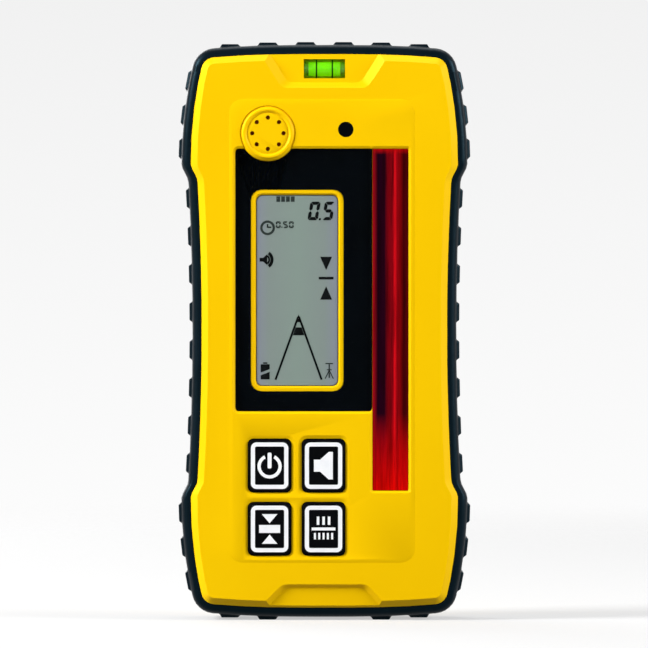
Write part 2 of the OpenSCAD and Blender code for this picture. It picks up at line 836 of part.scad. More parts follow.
module rear_housing() {
  clamp_z = mid_up + clamp_up;
  insert_y = back_y + pad_proud - insert_sink;
  color(yellow) difference() {
    union() {
      difference() {
        union() {
          difference() {
            back_skin();
            plate(part_y - over, back_in_y, shell_outline(side_wall));
          }
          battery_well_walls();
          at_corners(boss_x, boss_up) bar(0, 0, part_y, back_in_y + weld, boss_r);
          rear_posts(rear_post_r, rear_cell_y, back_in_y + weld);
          bar(0, clamp_z, insert_y - insert_l - insert_floor, back_in_y + weld, insert_r + insert_wall);
          bar(0, clamp_z, back_in_y + weld, back_y + pad_proud, clamp_pad_r);
        }
        door_recess();
        block([-well_w / 2, well_floor_y, well_z0], [well_w / 2, back_y, well_z1]);
      }
      shell_hinge();
    }
    cross_bar(-door_half - over, door_half + over, hinge_y, hinge_z, pin_r + pin_press);
    bar(0, clamp_z, insert_y - insert_l, back_y + pad_proud + over, insert_r + pin_press);
    for (s = [-1, 1]) translate([s * dimple_x, back_y - dimple_d, clamp_z]) rotate([-90, 0, 0])
      cylinder(h = dimple_d + fit, r1 = dimple_r / 2, r2 = dimple_r);
    plate(rear_pocket_y, back_y + over, rounded(0, rear_up, rear_panel_w, rear_panel_h, panel_r));
    plate(back_in_y - over, back_y, rounded(0, rear_up, rear_view_w, rear_view_h, cell_view_r));
    rear_posts(board_screw_r + fit, rear_cell_y - over, rear_cell_y + rear_screw_l - rear_board_t);
    at_corners(boss_x, boss_up) bar(0, 0, part_y - over, back_y + over, screw_r + slip);
    at_corners(boss_x, boss_up)
      bar(0, 0, back_y - screw_sink - screw_head_t, back_y + over, screw_head_r + slip);
    translate([0, back_y + thumb_r - thumb_d, mid_up + door_top + thumb_reach])
      sphere(r = thumb_r);
    seal_ring(part_y - over, part_y + seal_t);
  }
}

// Ring between two outlines of the shell wall, half way through its thickness
module seal_ring(y0, y1) {
  d = (side_wall - seal_w) / 2;
  slab(y0, y1) difference() {
    polygon(shell_outline(d));
    polygon(shell_outline(d + seal_w));
  }
}

module housing_seal() {
  color("#2b2d30") seal_ring(part_y, part_y + seal_t);
}

module housing_screws() {
  head_y = back_y - screw_sink - screw_head_t;
  color("#8f949a") at_corners(boss_x, boss_up) difference() {
    union() {
      bar(0, 0, part_y - screw_bite, head_y, screw_r);
      bar(0, 0, head_y, head_y + screw_head_t, screw_head_r);
    }
    for (a = [0, 90]) rotate([0, a, 0])
      block([-screw_head_r * cross_share, head_y + screw_head_t - screw_slot_d, -screw_slot_w / 2],
        [screw_head_r * cross_share, head_y + screw_head_t + over, screw_slot_w / 2]);
  }
}

// Rubber bumpers

// Rings of one half from its free edge to the parting plane, as [set-in, distance in, tread height]
function bumper_rings(depth) =
  let (run = band_w - band_land,
    tread_in = band_shoulder_d + tread_draft, tread_out = depth - tread_split / 2)
  concat(
    [for (i = [0 : round_steps - 1]) let (a = 90 * i / (round_steps - 1))
      [run * (1 - sin(a)), band_shoulder_d * (1 - cos(a)), 0]],
    [[0, tread_in, tread_h], [0, tread_out - tread_draft, tread_h], [0, tread_out, 0], [0, depth, 0]]
  );

module front_bumper() {
  edge_y = shell_y + band_setback;
  color(rubber) difference() {
    loft([for (e = bumper_rings(part_y - edge_y)) ring_at(rubber_outline(e[0], e[2]), edge_y + e[1])]);
    plate(edge_y - over, part_y + over, shell_outline(0));
  }
}

module rear_bumper() {
  edge_y = back_y - back_edge_r;
  rings = bumper_rings(edge_y - part_y);
  color(rubber) difference() {
    loft([for (i = [len(rings) - 1 : -1 : 0])
      ring_at(rubber_outline(rings[i][0], rings[i][2]), edge_y - rings[i][1])]);
    plate(part_y - over, edge_y + over, shell_outline(0));
  }
}

// Display

module lens_outline(y0, y1) {
  intersection() {
    window_pocket(y0, y1, filter_gap);
    block([panel_x - panel_w, y0, 0], [panel_x + panel_w / 2 - filter_gap, y1, body_h]);
  }
}

module display_lens() {
  color("#20242a", 0.5) lens_outline(lens_y, lens_y + lens_t);
}

module display_mask() {
  color(black) difference() {
    lens_outline(lens_y + lens_t, pocket_y);
    plate(lens_y, pocket_y + over, rounded(cell_x, mid_up + cell_up, aperture_w, aperture_h, aperture_r));
  }
}

module display_cell() {
  color("#84938c") union() {
    plate(front_in_y, front_in_y + cell_t, rounded(cell_x, mid_up + cell_up, cell_w, cell_h, filter_r));
    plate(pocket_y - cell_rise, front_in_y + weld, rounded(cell_x, mid_up + cell_up,
      cell_view_w - 2 * slip, cell_view_h - 2 * slip, cell_view_r));
  }
}

module display_frame() {
  color("#1c1e21") difference() {
    plate(front_in_y, board_y, rounded(cell_x, mid_up + cell_up, cell_w + 2 * (fit + frame_wall),
      cell_h + 2 * (fit + frame_wall), panel_r));
    plate(front_in_y - over, board_y + over,
      rounded(cell_x, mid_up + cell_up, cell_w + 2 * fit, cell_h + 2 * fit, filter_r));
  }
}

module display_contacts() {
  color("#c9b9c4") for (s = [-1, 1]) translate([cell_x, 0, mid_up + cell_up + s * (cell_h - contact_w) / 2])
    block([-cell_view_w / 2, front_in_y + cell_t, -contact_w / 2], [cell_view_w / 2, board_y, contact_w / 2]);
}

// Receive window

module red_filter() {
  z0 = mid_up + filter_cz - slot_h / 2 + filter_lap;
  color("#b3060e", 0.8) union() {
    plate(lens_y, pocket_y, rounded(filter_x, mid_up + filter_cz, filter_w - 2 * filter_gap,
      filter_h - 2 * filter_gap, filter_r));
    intersection() {
      for (i = [0 : flute_count - 1])
        translate([filter_x + (i - (flute_count - 1) / 2) * flute_pitch, pocket_y + flute_rise - flute_r, z0])
        cylinder(h = slot_h - 2 * filter_lap, r = flute_r);
      block([filter_x - slot_w / 2, pocket_y - weld / 2, z0],
        [filter_x + slot_w / 2, front_in_y, z0 + slot_h]);
    }
  }
}

module diode_shroud() {
  color("#17181a") difference() {
    plate(front_in_y, board_y,
      rounded(filter_x, mid_up + filter_cz, slot_w + 2 * shroud_wall, slot_h + 2 * shroud_wall, panel_r));
    plate(front_in_y - over, board_y + over, rounded(filter_x, mid_up + filter_cz, slot_w, slot_h, filter_r));
  }
}

module photodiodes() {
  pitch = slot_h / diode_count;
  color("#2a1a1e") for (i = [0 : diode_count - 1])
    translate([filter_x, 0, mid_up + filter_cz - slot_h / 2 + (i + 0.5) * pitch])
    block([-diode_w / 2, board_y - diode_t, -diode_h / 2], [diode_w / 2, board_y, diode_h / 2]);
}

// Boards

module main_board() {
  color("#1f6b3a") difference() {
    plate(board_y, board_back_y, rounded(0, mid_up, board_w, board_h, board_r));
    at_corners(post_x, post_up) bar(0, 0, board_y - over, board_back_y + over, board_screw_r + slip);
  }
}

module board_chips() {
  color("#202124") for (i = [0 : len(chip_sizes) - 1])
    translate([board_w * chip_place_shares[i][0], board_back_y, mid_up + board_h * chip_place_shares[i][1]])
    slab(0, chip_t) square(chip_sizes[i], center = true);
}

// A pan-head screw whose seat is at depth y, pointing towards -Y when way is -1 and +Y when it is 1
module board_screw(y, way, length) {
  tip = y + way * length;
  head = y - way * board_screw_head_t;
  bar(0, 0, min(y, tip), max(y, tip), board_screw_r);
  bar(0, 0, min(y, head), max(y, head), board_screw_head_r);
}

module board_screws() {
  color("#a7abb0") union() {
    at_corners(post_x, post_up) board_screw(board_back_y, -1, board_screw_l);
    for (s = [-1, 1]) translate([0, 0, rear_up + s * rear_post_up])
      board_screw(rear_cell_y - rear_board_t, 1, rear_screw_l);
  }
}

module snap_domes() {
  color("#c8ccd0") for (i = [0 : 3]) bar(key_cx(i), key_cz(i), board_y - dome_t, board_y, dome_r);
}

// Keypad

module keypad_mat() {
  cx = key_x + key_pitch_x / 2;
  cz = mid_up + key_up - key_pitch_z / 2;
  hole = key_flange + mat_gap;
  color("#26282b") difference() {
    plate(front_in_y, front_in_y + mat_t, rounded(cx, cz, key_pitch_x + key_w + 2 * (hole + mat_margin),
      key_pitch_z + key_h + 2 * (hole + mat_margin), mat_r));
    for (i = [0 : 3])
      plate(front_in_y - over, front_in_y + mat_t + over, key_outline(i, hole, key_r + key_flange));
  }
}

// One key: a cap with rounded edges, a flange behind the wall and a plunger over its dome
module key(i) {
  top_y = face_y - key_proud;
  color(black) union() {
    loft(concat(
      [for (e = edge_rings(key_edge)) ring_at(key_outline(i, -e[0], key_r - e[0] / 2), top_y + e[1])],
      [ring_at(key_outline(i, 0, key_r), front_in_y + weld)]
    ));
    plate(front_in_y, front_in_y + key_flange_t, key_outline(i, key_flange, key_r + key_flange));
    bar(key_cx(i), key_cz(i), front_in_y + weld, board_y - dome_t - dome_gap - key_travel, plunger_r);
  }
}

module power_key() { key(0); }
module volume_key() { key(1); }
module precision_key() { key(2); }
module units_key() { key(3); }

// Speaker and light sensor

module speaker_grille() {
  y0 = face_y - grille_proud;
  y1 = face_y + grille_seat_d;
  color(yellow) translate([grille_x, 0, mid_up + grille_up]) difference() {
    rotate([-90, 0, 0]) rotate_extrude() polygon([
      [0, y0 + grille_groove_d], [grille_groove_r - grille_groove_w, y0 + grille_groove_d],
      [grille_groove_r, y0 + 2 * grille_groove_d], [grille_groove_r + grille_groove_w, y0],
      [grille_r - grille_edge, y0], [grille_r, y0 + grille_edge], [grille_r, y1], [0, y1]
    ]);
    for (i = [0 : grille_holes - 1]) rotate([0, i * 360 / grille_holes, 0])
      bar(grille_holes_r, 0, y0 - over, y1 + over, grille_hole_r);
  }
}

module speaker_membrane() {
  color("#d8d8d4") bar(grille_x, mid_up + grille_up, front_in_y, front_in_y + membrane_t, membrane_r);
}

module buzzer() {
  color("#1d1d20") bar(grille_x, mid_up + grille_up, front_in_y + membrane_t, board_y, buzzer_r);
}

module light_pipe() {
  color(black) union() {
    bar(pipe_x, mid_up + pipe_up, face_y, front_in_y + weld, pipe_r);
    bar(pipe_x, mid_up + pipe_up, front_in_y, front_in_y + pipe_flange_t, pipe_flange_r);
    bar(pipe_x, mid_up + pipe_up, front_in_y, board_y - sensor_t - fit, pipe_stem_r);
  }
}

module light_sensor() {
  color("#2a2b2e") translate([pipe_x, board_y, mid_up + pipe_up])
    block([-sensor_w / 2, -sensor_t, -sensor_w / 2], [sensor_w / 2, 0, sensor_w / 2]);
}

// Level vial

module vial_bar(x, r) {
  cross_bar(-x, x, vial_y, mid_up + vial_up, r);
}

module vial_tube() {
  color("#dfeee0", 0.4) difference() {
    vial_bar(vial_l / 2, vial_dia / 2);
    vial_bar(vial_l / 2 + over, vial_dia / 2 - vial_wall);
    for (s = [-1, 1]) vial_line(s, over);
  }
}

module vial_bubble() {
  translate([0, vial_y, mid_up + vial_up + bubble_lift]) {
    cross_bar(-bubble_l / 2, bubble_l / 2, 0, 0, bubble_r);
    for (s = [-1, 1]) translate([s * bubble_l / 2, 0, 0]) sphere(r = bubble_r);
  }
}

module vial_liquid() {
  color("#7fe012", 0.8) difference() {
    vial_bar(vial_l / 2 - vial_plug_l, vial_dia / 2 - vial_wall);
    vial_bubble();
  }
}

module vial_plugs() {
  color("#1d3a10") for (s = [-1, 1]) translate([s * (vial_l - vial_plug_l) / 2, vial_y, mid_up + vial_up])
    cross_bar(-vial_plug_l / 2, vial_plug_l / 2, 0, 0, vial_dia / 2 - vial_wall);
}

// A printed ring in its groove round the tube
module vial_line(s, extra) {
  translate([s * vial_line_gap / 2, vial_y, mid_up + vial_up]) rotate([0, 90, 0]) rotate_extrude()
    translate([vial_dia / 2 - vial_line_t, -vial_line_w / 2]) square([vial_line_t + extra, vial_line_w]);
}

module vial_lines() {
  color(black) for (s = [-1, 1]) vial_line(s, 0);
}

// Rear display

module rear_lens() {
  color("#20242a", 0.5) plate(back_y - lens_recess - lens_t, back_y - lens_recess,
    rounded(0, rear_up, rear_panel_w - 2 * filter_gap, rear_panel_h - 2 * filter_gap, panel_r));
}

module rear_mask() {
  color(black) difference() {
    plate(rear_pocket_y, rear_pocket_y + mask_t,
      rounded(0, rear_up, rear_panel_w - 2 * filter_gap, rear_panel_h - 2 * filter_gap, panel_r));
    plate(rear_pocket_y - over, back_y,
      rounded(0, rear_up, rear_aperture_w, rear_aperture_h, aperture_r));
  }
}

module rear_cell() {
  color("#84938c") plate(rear_cell_y, back_in_y, rounded(0, rear_up, rear_cell_w, rear_cell_h, filter_r));
}

module rear_board() {
  color("#1f6b3a") difference() {
    plate(rear_cell_y - rear_board_t, rear_cell_y, rounded(0, rear_up, rear_cell_w, rear_board_h, board_r));
    rear_posts(board_screw_r + slip, rear_cell_y - rear_board_t - over, rear_cell_y + over);
  }
}

module display_ribbon() {
  z = rear_up + rear_cell_h / 2 - ribbon_inset;
  color("#c98f3a") block([-ribbon_w / 2, board_back_y, z],
    [ribbon_w / 2, rear_cell_y - rear_board_t, z + ribbon_t]);
}

// Clamp mount

module clamp_insert() {
  y1 = back_y + pad_proud - insert_sink;
  color("#c9a24a") difference() {
    bar(0, mid_up + clamp_up, y1 - insert_l, y1, insert_r);
    bar(0, mid_up + clamp_up, y1 - insert_l - over, y1 + over, clamp_bore_r);
  }
}

// Battery compartment

module battery_door() {
  z0 = mid_up + door_low;
  z1 = mid_up + door_top;
  color(yellow) difference() {
    union() {
      plate(door_in_y, back_y, rounded(0, (z0 + z1) / 2, door_w, z1 - z0, door_r));
      for (k = door_knuckles()) {
        cross_bar(k[0], k[1], hinge_y, hinge_z, knuckle_r);
        block([k[0], door_in_y, hinge_z], [k[1], back_y, z0 + door_r]);
      }
    }
    cross_bar(-door_half, door_half, hinge_y, hinge_z, pin_r + pin_slip);
    for (i = [0 : grip_count - 1]) plate(back_y - grip_d, back_y + over,
      rounded(0, z1 - grip_drop - i * grip_pitch, grip_w, grip_h, grip_h / 2));
    translate([0, back_y + thumb_r - thumb_d, mid_up + door_top + thumb_reach]) sphere(r = thumb_r);
  }
}

module battery_door_seal() {
  cz = (well_z0 + well_z1) / 2;
  color("#2b2d30") difference() {
    plate(ledge_y, door_in_y,
      rounded(0, cz, well_w + 2 * door_seal_w, well_l + 2 * door_seal_w, door_seal_w));
    plate(ledge_y - over, door_in_y + over, rounded(0, cz, well_w, well_l, filter_r));
  }
}

module hinge_pin() {
  color("#b9bdc2") cross_bar(-door_half - weld, door_half + weld, hinge_y, hinge_z, pin_r);
}

// A cell with its nub up when way is 1 and down when it is -1; the spring is at its flat end
module battery_cell(x, way) {
  base = way > 0 ? well_z0 + plate_t + spring_l : well_z1 - plate_t - spring_l;
  color("#3a3f46") translate([x, battery_y, base]) mirror([0, 0, way > 0 ? 0 : 1]) {
    cylinder(h = battery_l - nub_l, r = battery_dia / 2);
    cylinder(h = battery_l, r = nub_r);
  }
}

module battery_cell_left() { battery_cell(-battery_x, 1); }
module battery_cell_right() { battery_cell(battery_x, -1); }

// Points of a conical spring, and a six-sided wire swept along them
function spring_pt(t) =
  let (r = mix(spring_big_r, spring_small_r, t), a = 360 * spring_turns * t)
  [r * cos(a), r * sin(a), mix(wire_r, spring_l - wire_r, t)];
function wire_ring(t) =
  let (a = 360 * spring_turns * t, c = spring_pt(t))
  [for (i = [0 : spring_sides - 1]) let (b = 360 * i / spring_sides)
    c + wire_r * [cos(b) * cos(a), cos(b) * sin(a), sin(b)]];

module spring() {
  n = ceil(spring_turns * spring_rings);
  loft([for (i = [0 : n]) wire_ring(i / n)]);
}

module contact_springs() {
  color("#c4c8cc") union() {
    translate([-battery_x, battery_y, well_z0 + plate_t]) spring();
    translate([battery_x, battery_y, well_z1 - plate_t]) rotate([180, 0, 0]) spring();
  }
}

module contact_plates() {
  color("#c4c8cc") for (s = [-1, 1], z = [well_z0, well_z1 - plate_t])
    translate([s * battery_x, battery_y, z])
    block([-plate_w / 2, -plate_w / 2, 0], [plate_w / 2, plate_w / 2, plate_t]);
}

module battery_leads() {
  z = well_z1 + well_wall + lead_rise;
  y = well_floor_y - well_floor_t + lead_r;
  color("#a01818") for (s = [-1, 1]) translate([s * lead_x, 0, 0]) {
    translate([0, y, well_z1 + well_wall]) cylinder(h = lead_rise, r = lead_r);
    translate([0, y, z]) sphere(r = lead_r);
    bar(0, z, board_back_y, y, lead_r);
  }
}

front_housing();
rear_housing();
housing_seal();
housing_screws();
front_bumper();
rear_bumper();
display_lens();
display_mask();
display_cell();
display_frame();
display_contacts();
red_filter();
diode_shroud();
photodiodes();
main_board();
board_chips();
board_screws();
snap_domes();
keypad_mat();
power_key();
volume_key();
precision_key();
units_key();
speaker_grille();
speaker_membrane();
buzzer();
light_pipe();
light_sensor();
vial_tube();
vial_liquid();
vial_plugs();
vial_lines();
rear_lens();
rear_mask();
rear_cell();
rear_board();
display_ribbon();
clamp_insert();
battery_door();
battery_door_seal();
hinge_pin();
battery_cell_left();
battery_cell_right();
contact_springs();
contact_plates();
battery_leads();
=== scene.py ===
"""Looks of a hand-held laser receiver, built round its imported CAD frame.

Lengths are in millimetres until they reach a mesh, a lamp or a node, where MM turns them to metres.
X points right, -Y is the front and Z is up, and the origin is under the middle of the case.
"""

from __future__ import annotations

import json
import logging
import math
from dataclasses import dataclass, replace
from enum import Enum

import bmesh
import bpy
from mathutils import Matrix, Vector

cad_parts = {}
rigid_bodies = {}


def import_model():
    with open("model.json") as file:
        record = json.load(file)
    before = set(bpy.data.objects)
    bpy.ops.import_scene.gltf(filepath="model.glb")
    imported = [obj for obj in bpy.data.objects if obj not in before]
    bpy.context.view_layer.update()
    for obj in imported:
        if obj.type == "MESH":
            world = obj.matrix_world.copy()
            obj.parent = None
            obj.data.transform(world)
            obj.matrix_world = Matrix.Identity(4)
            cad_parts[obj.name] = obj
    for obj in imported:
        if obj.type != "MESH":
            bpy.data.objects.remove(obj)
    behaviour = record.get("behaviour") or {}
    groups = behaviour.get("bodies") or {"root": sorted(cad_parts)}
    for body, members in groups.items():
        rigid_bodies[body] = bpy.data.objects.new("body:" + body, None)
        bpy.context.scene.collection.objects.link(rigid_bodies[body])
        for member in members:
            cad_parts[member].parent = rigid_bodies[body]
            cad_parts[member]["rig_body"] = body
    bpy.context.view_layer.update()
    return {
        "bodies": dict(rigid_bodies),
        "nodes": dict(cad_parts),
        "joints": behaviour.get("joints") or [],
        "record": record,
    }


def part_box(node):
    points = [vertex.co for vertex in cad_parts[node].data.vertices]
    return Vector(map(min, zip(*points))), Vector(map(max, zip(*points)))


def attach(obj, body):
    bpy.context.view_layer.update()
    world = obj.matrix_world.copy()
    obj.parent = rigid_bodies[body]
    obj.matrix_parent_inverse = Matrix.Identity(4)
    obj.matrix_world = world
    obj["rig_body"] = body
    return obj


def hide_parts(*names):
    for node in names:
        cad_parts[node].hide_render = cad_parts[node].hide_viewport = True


LOG = logging.getLogger("laser_receiver")
MM = 0.001
MERGE_M = 2e-6
FULL_TURN = 360.0
QUARTER_TURN = math.radians(90)
# Numbers of a Mix node's sockets for two colours and for the colour between them.
COLOUR_A, COLOUR_B, MIXED = 6, 7, 2

Point = tuple[float, float]
Mesh = bmesh.types.BMesh
Face = bmesh.types.BMFace
Tree = bpy.types.NodeTree
Node = bpy.types.Node
Socket = bpy.types.NodeSocket
Material = bpy.types.Material


class Facing(Enum):
    """The side of the case that a sign is read from, as the sign of its outward Y."""

    FRONT = -1
    BACK = 1


class Axis(Enum):
    """The axis that a finish's bands follow."""

    X = "X"
    Z = "Z"


class Segment(Enum):
    """The seven bars of a figure, with their middles as shares of its half width and half height."""

    TOP = (0.0, 1.0)
    UPPER_RIGHT = (1.0, 0.5)
    LOWER_RIGHT = (1.0, -0.5)
    BOTTOM = (0.0, -1.0)
    LOWER_LEFT = (-1.0, -0.5)
    UPPER_LEFT = (-1.0, 0.5)
    MIDDLE = (0.0, 0.0)


FIGURE_BARS: dict[str, tuple[Segment, ...]] = {
    "0": tuple(bar for bar in Segment if bar is not Segment.MIDDLE),
    "5": (Segment.TOP, Segment.UPPER_LEFT, Segment.MIDDLE, Segment.LOWER_RIGHT, Segment.BOTTOM),
}


def linear(code: str) -> tuple[float, float, float, float]:
    """Turns an sRGB hex colour to linear light.

    Args:
        code: six hex digits after a hash sign.

    Returns:
        Red, green, blue and an alpha of 1.
    """
    shares = [int(code[i : i + 2], 16) / 255 for i in (1, 3, 5)]
    light = [c / 12.92 if c <= 0.04045 else ((c + 0.055) / 1.055) ** 2.4 for c in shares]
    return (light[0], light[1], light[2], 1.0)


def add_node(tree: Tree, kind: str, settings: dict | None = None, links: dict | None = None) -> Node:
    """Adds one node with its settings and links.

    Args:
        tree: the node tree that takes the node.
        kind: the node's type, without the ShaderNode that all of them start with.
        settings: a value for each named property, or for each input by name or number.
        links: what feeds each input, by name or number: a socket, or a node for its first output.

    Returns:
        The new node.
    """
    node = tree.nodes.new("ShaderNode" + kind)
    for key, value in (settings or {}).items():
        if isinstance(key, str) and hasattr(node, key):
            setattr(node, key, value)
        else:
            node.inputs[key].default_value = value
    for key, source in (links or {}).items():
        tree.links.new(source.outputs[0] if isinstance(source, Node) else source, node.inputs[key])
    return node


def empty_tree(owner: Material | bpy.types.World) -> Tree:
    """Turns on the nodes of a material or world and takes its first ones out.

    Args:
        owner: the new material or world.

    Returns:
        Its empty node tree.
    """
    owner.use_nodes = True
    owner.node_tree.nodes.clear()
    return owner.node_tree


def add_object(name: str, data: bpy.types.ID) -> bpy.types.Object:
    """Puts an object in the scene, at the origin.

    Args:
        name: its name.
        data: its mesh, lamp or camera.

    Returns:
        The new object.
    """
    made = bpy.data.objects.new(name, data)
    bpy.context.scene.collection.objects.link(made)
    return made


def add_mesh(name: str, bm: Mesh, material: Material) -> bpy.types.Object:
    """Puts a finished bmesh in the scene and frees it.

    Args:
        name: name of the object and its mesh.
        bm: the bmesh.
        material: its material.

    Returns:
        The new object.
    """
    data = bpy.data.meshes.new(name)
    bm.to_mesh(data)
    bm.free()
    data.materials.append(material)
    return add_object(name, data)


def seen_rays(tree: Tree) -> Socket:
    """Finds the rays that show the background: straight to the eye, in gloss or through clear parts.

    Args:
        tree: the node tree that asks.

    Returns:
        1 for such a ray and 0 for the light that the background sheds.
    """
    ray = add_node(tree, "LightPath").outputs
    most = ray["Is Camera Ray"]
    for kind in ("Is Glossy Ray", "Is Transmission Ray"):
        most = add_node(tree, "Math", {"operation": "MAXIMUM"}, {0: most, 1: ray[kind]}).outputs[0]
    return most


@dataclass(frozen=True)
class Finish:
    """A surface with a fine grain and a roughness that varies a little with it.

    Attributes:
        name: the real material and how it was made.
        rough_spread: how far the roughness goes up and down with the grain.
        grain_mm: width of the surface's grain, and grain_depth_mm its depth.
        grain_detail: number of finer layers in the grain, and grain_fineness their strength.
        grain_range: heights of the grain at which the roughness is lowest and highest.
        tint: colour of the gloss.
        painted_glow: strength of painted emission that stands for the light that a fluorescent dye gives
            off.
    """

    name: str
    roughness: float
    rough_spread: float = 0.04
    grain_mm: float = 0.7
    grain_depth_mm: float = 0.01
    grain_detail: float = 3.0
    grain_fineness: float = 0.55
    grain_range: Point = (0.3, 0.7)
    ior: float = 1.5
    specular: float = 0.5
    tint: str = "#ffffff"
    metallic: float = 0.0
    coat: float = 0.0
    coat_roughness: float = 0.08
    alpha: float = 1.0
    painted_glow: float = 0.0

    def material(self) -> Material:
        """Builds the material once.

        Returns:
            The material of this finish's name.
        """
        made = bpy.data.materials.get(self.name)
        if made is not None:
            return made
        made = bpy.data.materials.new(self.name)
        tree = empty_tree(made)
        place = add_node(tree, "TexCoord").outputs["Object"]
        scale = 1 / (self.grain_mm * MM)
        layers = {"Scale": scale, "Detail": self.grain_detail, "Roughness": self.grain_fineness}
        grain = add_node(tree, "TexNoise", layers, {"Vector": place})
        colour = self.colour_socket(tree, place)
        spread = {
            "From Min": self.grain_range[0],
            "From Max": self.grain_range[1],
            "To Min": self.roughness - self.rough_spread,
            "To Max": self.roughness + self.rough_spread,
        }
        rough = add_node(tree, "MapRange", spread, {"Value": grain})
        depth = {"Strength": 1.0, "Distance": self.grain_depth_mm * MM}
        relief = add_node(tree, "Bump", depth, {"Height": grain})
        settings = {
            "IOR": self.ior,
            "Specular IOR Level": self.specular,
            "Specular Tint": linear(self.tint),
            "Metallic": self.metallic,
            "Coat Weight": self.coat,
            "Coat Roughness": self.coat_roughness,
            "Alpha": self.alpha,
        }
        links = {"Base Color": colour, "Roughness": rough, "Normal": relief}
        # Painted light: the base colour is given off as emission.
        if self.painted_glow > 0:
            settings["Emission Strength"] = self.painted_glow
            links["Emission Color"] = colour
        shader = add_node(tree, "BsdfPrincipled", settings, links)
        add_node(tree, "OutputMaterial", links={"Surface": shader})
        return made

    def colour_socket(self, tree: Tree, place: Socket) -> Socket:
        """Adds the colour, which each kind of finish makes in its own way."""
        raise NotImplementedError


@dataclass(frozen=True, kw_only=True)
class PlainFinish(Finish):
    """A finish of one colour, which drifts slowly to a second one near it.

    Attributes:
        colours: the two colours.
        drift_mm: width of the drift's patches, and drift_detail the number of finer layers in them.
        drift_range: values of the drift's noise at which the first and the second colour are full.
    """

    colours: tuple[str, str]
    drift_mm: float = 18.0
    drift_detail: float = 2.0
    drift_range: Point = (0.35, 0.65)

    def colour_socket(self, tree: Tree, place: Socket) -> Socket:
        """Adds the slow drift between the two colours.

        Args:
            tree: the material's tree.
            place: Object coordinates.

        Returns:
            The base colour.
        """
        layers = {"Scale": 1 / (self.drift_mm * MM), "Detail": self.drift_detail}
        cloud = add_node(tree, "TexNoise", layers, {"Vector": place})
        spread = {"From Min": self.drift_range[0], "From Max": self.drift_range[1]}
        share = add_node(tree, "MapRange", spread, {"Value": cloud})
        first, second = (linear(code) for code in self.colours)
        settings = {"data_type": "RGBA", COLOUR_A: first, COLOUR_B: second}
        return add_node(tree, "Mix", settings, {0: share}).outputs[MIXED]


@dataclass(frozen=True, kw_only=True)
class AxisBands(Finish):
    """A finish whose colour changes along one axis, as across stripes or printed bands, or as painted shade
    and highlights across flutes.

    Attributes:
        axis: the axis that the bands follow.
        start_mm: where they start on that axis.
        length_mm: how far they run.
        stops: the share of that run at which each colour stands.
        ends: colour painted at each end as light, with the Z where it is full and the Z where it has faded
            out.
        streak_mm: width and length of the streaks, which shift the bands by the share streak.
        streak_detail: number of finer layers in the streaks, and streak_fineness their strength.
        shade: how much the streaks darken the colour.
        shade_range: values of the streaks' noise at which the colour is darkest and at which it is plain.
    """

    axis: Axis = Axis.X
    start_mm: float
    length_mm: float
    stops: tuple[tuple[float, str], ...]
    ends: tuple[tuple[str, float, float], ...] = ()
    streak_mm: Point = (1.0, 60.0)
    streak: float = 0.0
    streak_detail: float = 4.0
    streak_fineness: float = 0.65
    shade: float = 0.0
    shade_range: Point = (0.36, 0.58)

    def colour_socket(self, tree: Tree, place: Socket) -> Socket:
        """Adds the bands, with long streaks in their place and painted light at their ends.

        Args:
            tree: the material's tree.
            place: Object coordinates.

        Returns:
            The base colour.
        """
        parts = add_node(tree, "SeparateXYZ", links={"Vector": place})
        wide, tall = self.streak_mm
        scale = (1 / (wide * MM), 1 / (wide * MM), 1 / (tall * MM))
        moved = add_node(tree, "Mapping", {"Scale": scale}, {"Vector": place})
        layers = {"Scale": 1.0, "Detail": self.streak_detail, "Roughness": self.streak_fineness}
        wave = add_node(tree, "TexNoise", layers, {"Vector": moved})
        shift = self.streak * self.length_mm * MM
        offset = add_node(tree, "MapRange", {"To Min": -shift, "To Max": shift}, {"Value": wave})
        along = add_node(tree, "Math", links={0: parts.outputs[self.axis.value], 1: offset})
        run = {"From Min": self.start_mm * MM, "From Max": (self.start_mm + self.length_mm) * MM}
        share = add_node(tree, "MapRange", run, {"Value": along})
        ramp = add_node(tree, "ValToRGB", links={"Fac": share})
        elements = ramp.color_ramp.elements
        ready = len(elements)
        for number, (position, code) in enumerate(self.stops):
            stop = elements[number] if number < ready else elements.new(position)
            stop.position = position
            stop.color = linear(code)
        colour = ramp.outputs[0]
        # Painted light: each end's colour fades in along Z.
        for code, full, gone in self.ends:
            fade = {"From Min": full * MM, "From Max": gone * MM, "To Min": 1.0, "To Max": 0.0}
            end = add_node(tree, "MapRange", fade, {"Value": parts.outputs["Z"]})
            settings = {"data_type": "RGBA", COLOUR_B: linear(code)}
            colour = add_node(tree, "Mix", settings, {0: end, COLOUR_A: colour}).outputs[MIXED]
        if self.shade > 0:
            dark, plain = self.shade_range
            dim = {"From Min": dark, "From Max": plain, "To Min": 1 - self.shade, "To Max": 1.0}
            light = add_node(tree, "MapRange", dim, {"Value": wave})
            settings = {"data_type": "RGBA", "blend_type": "MULTIPLY", 0: 1.0}
            colour = add_node(tree, "Mix", settings, {COLOUR_A: colour, COLOUR_B: light}).outputs[MIXED]
        return colour


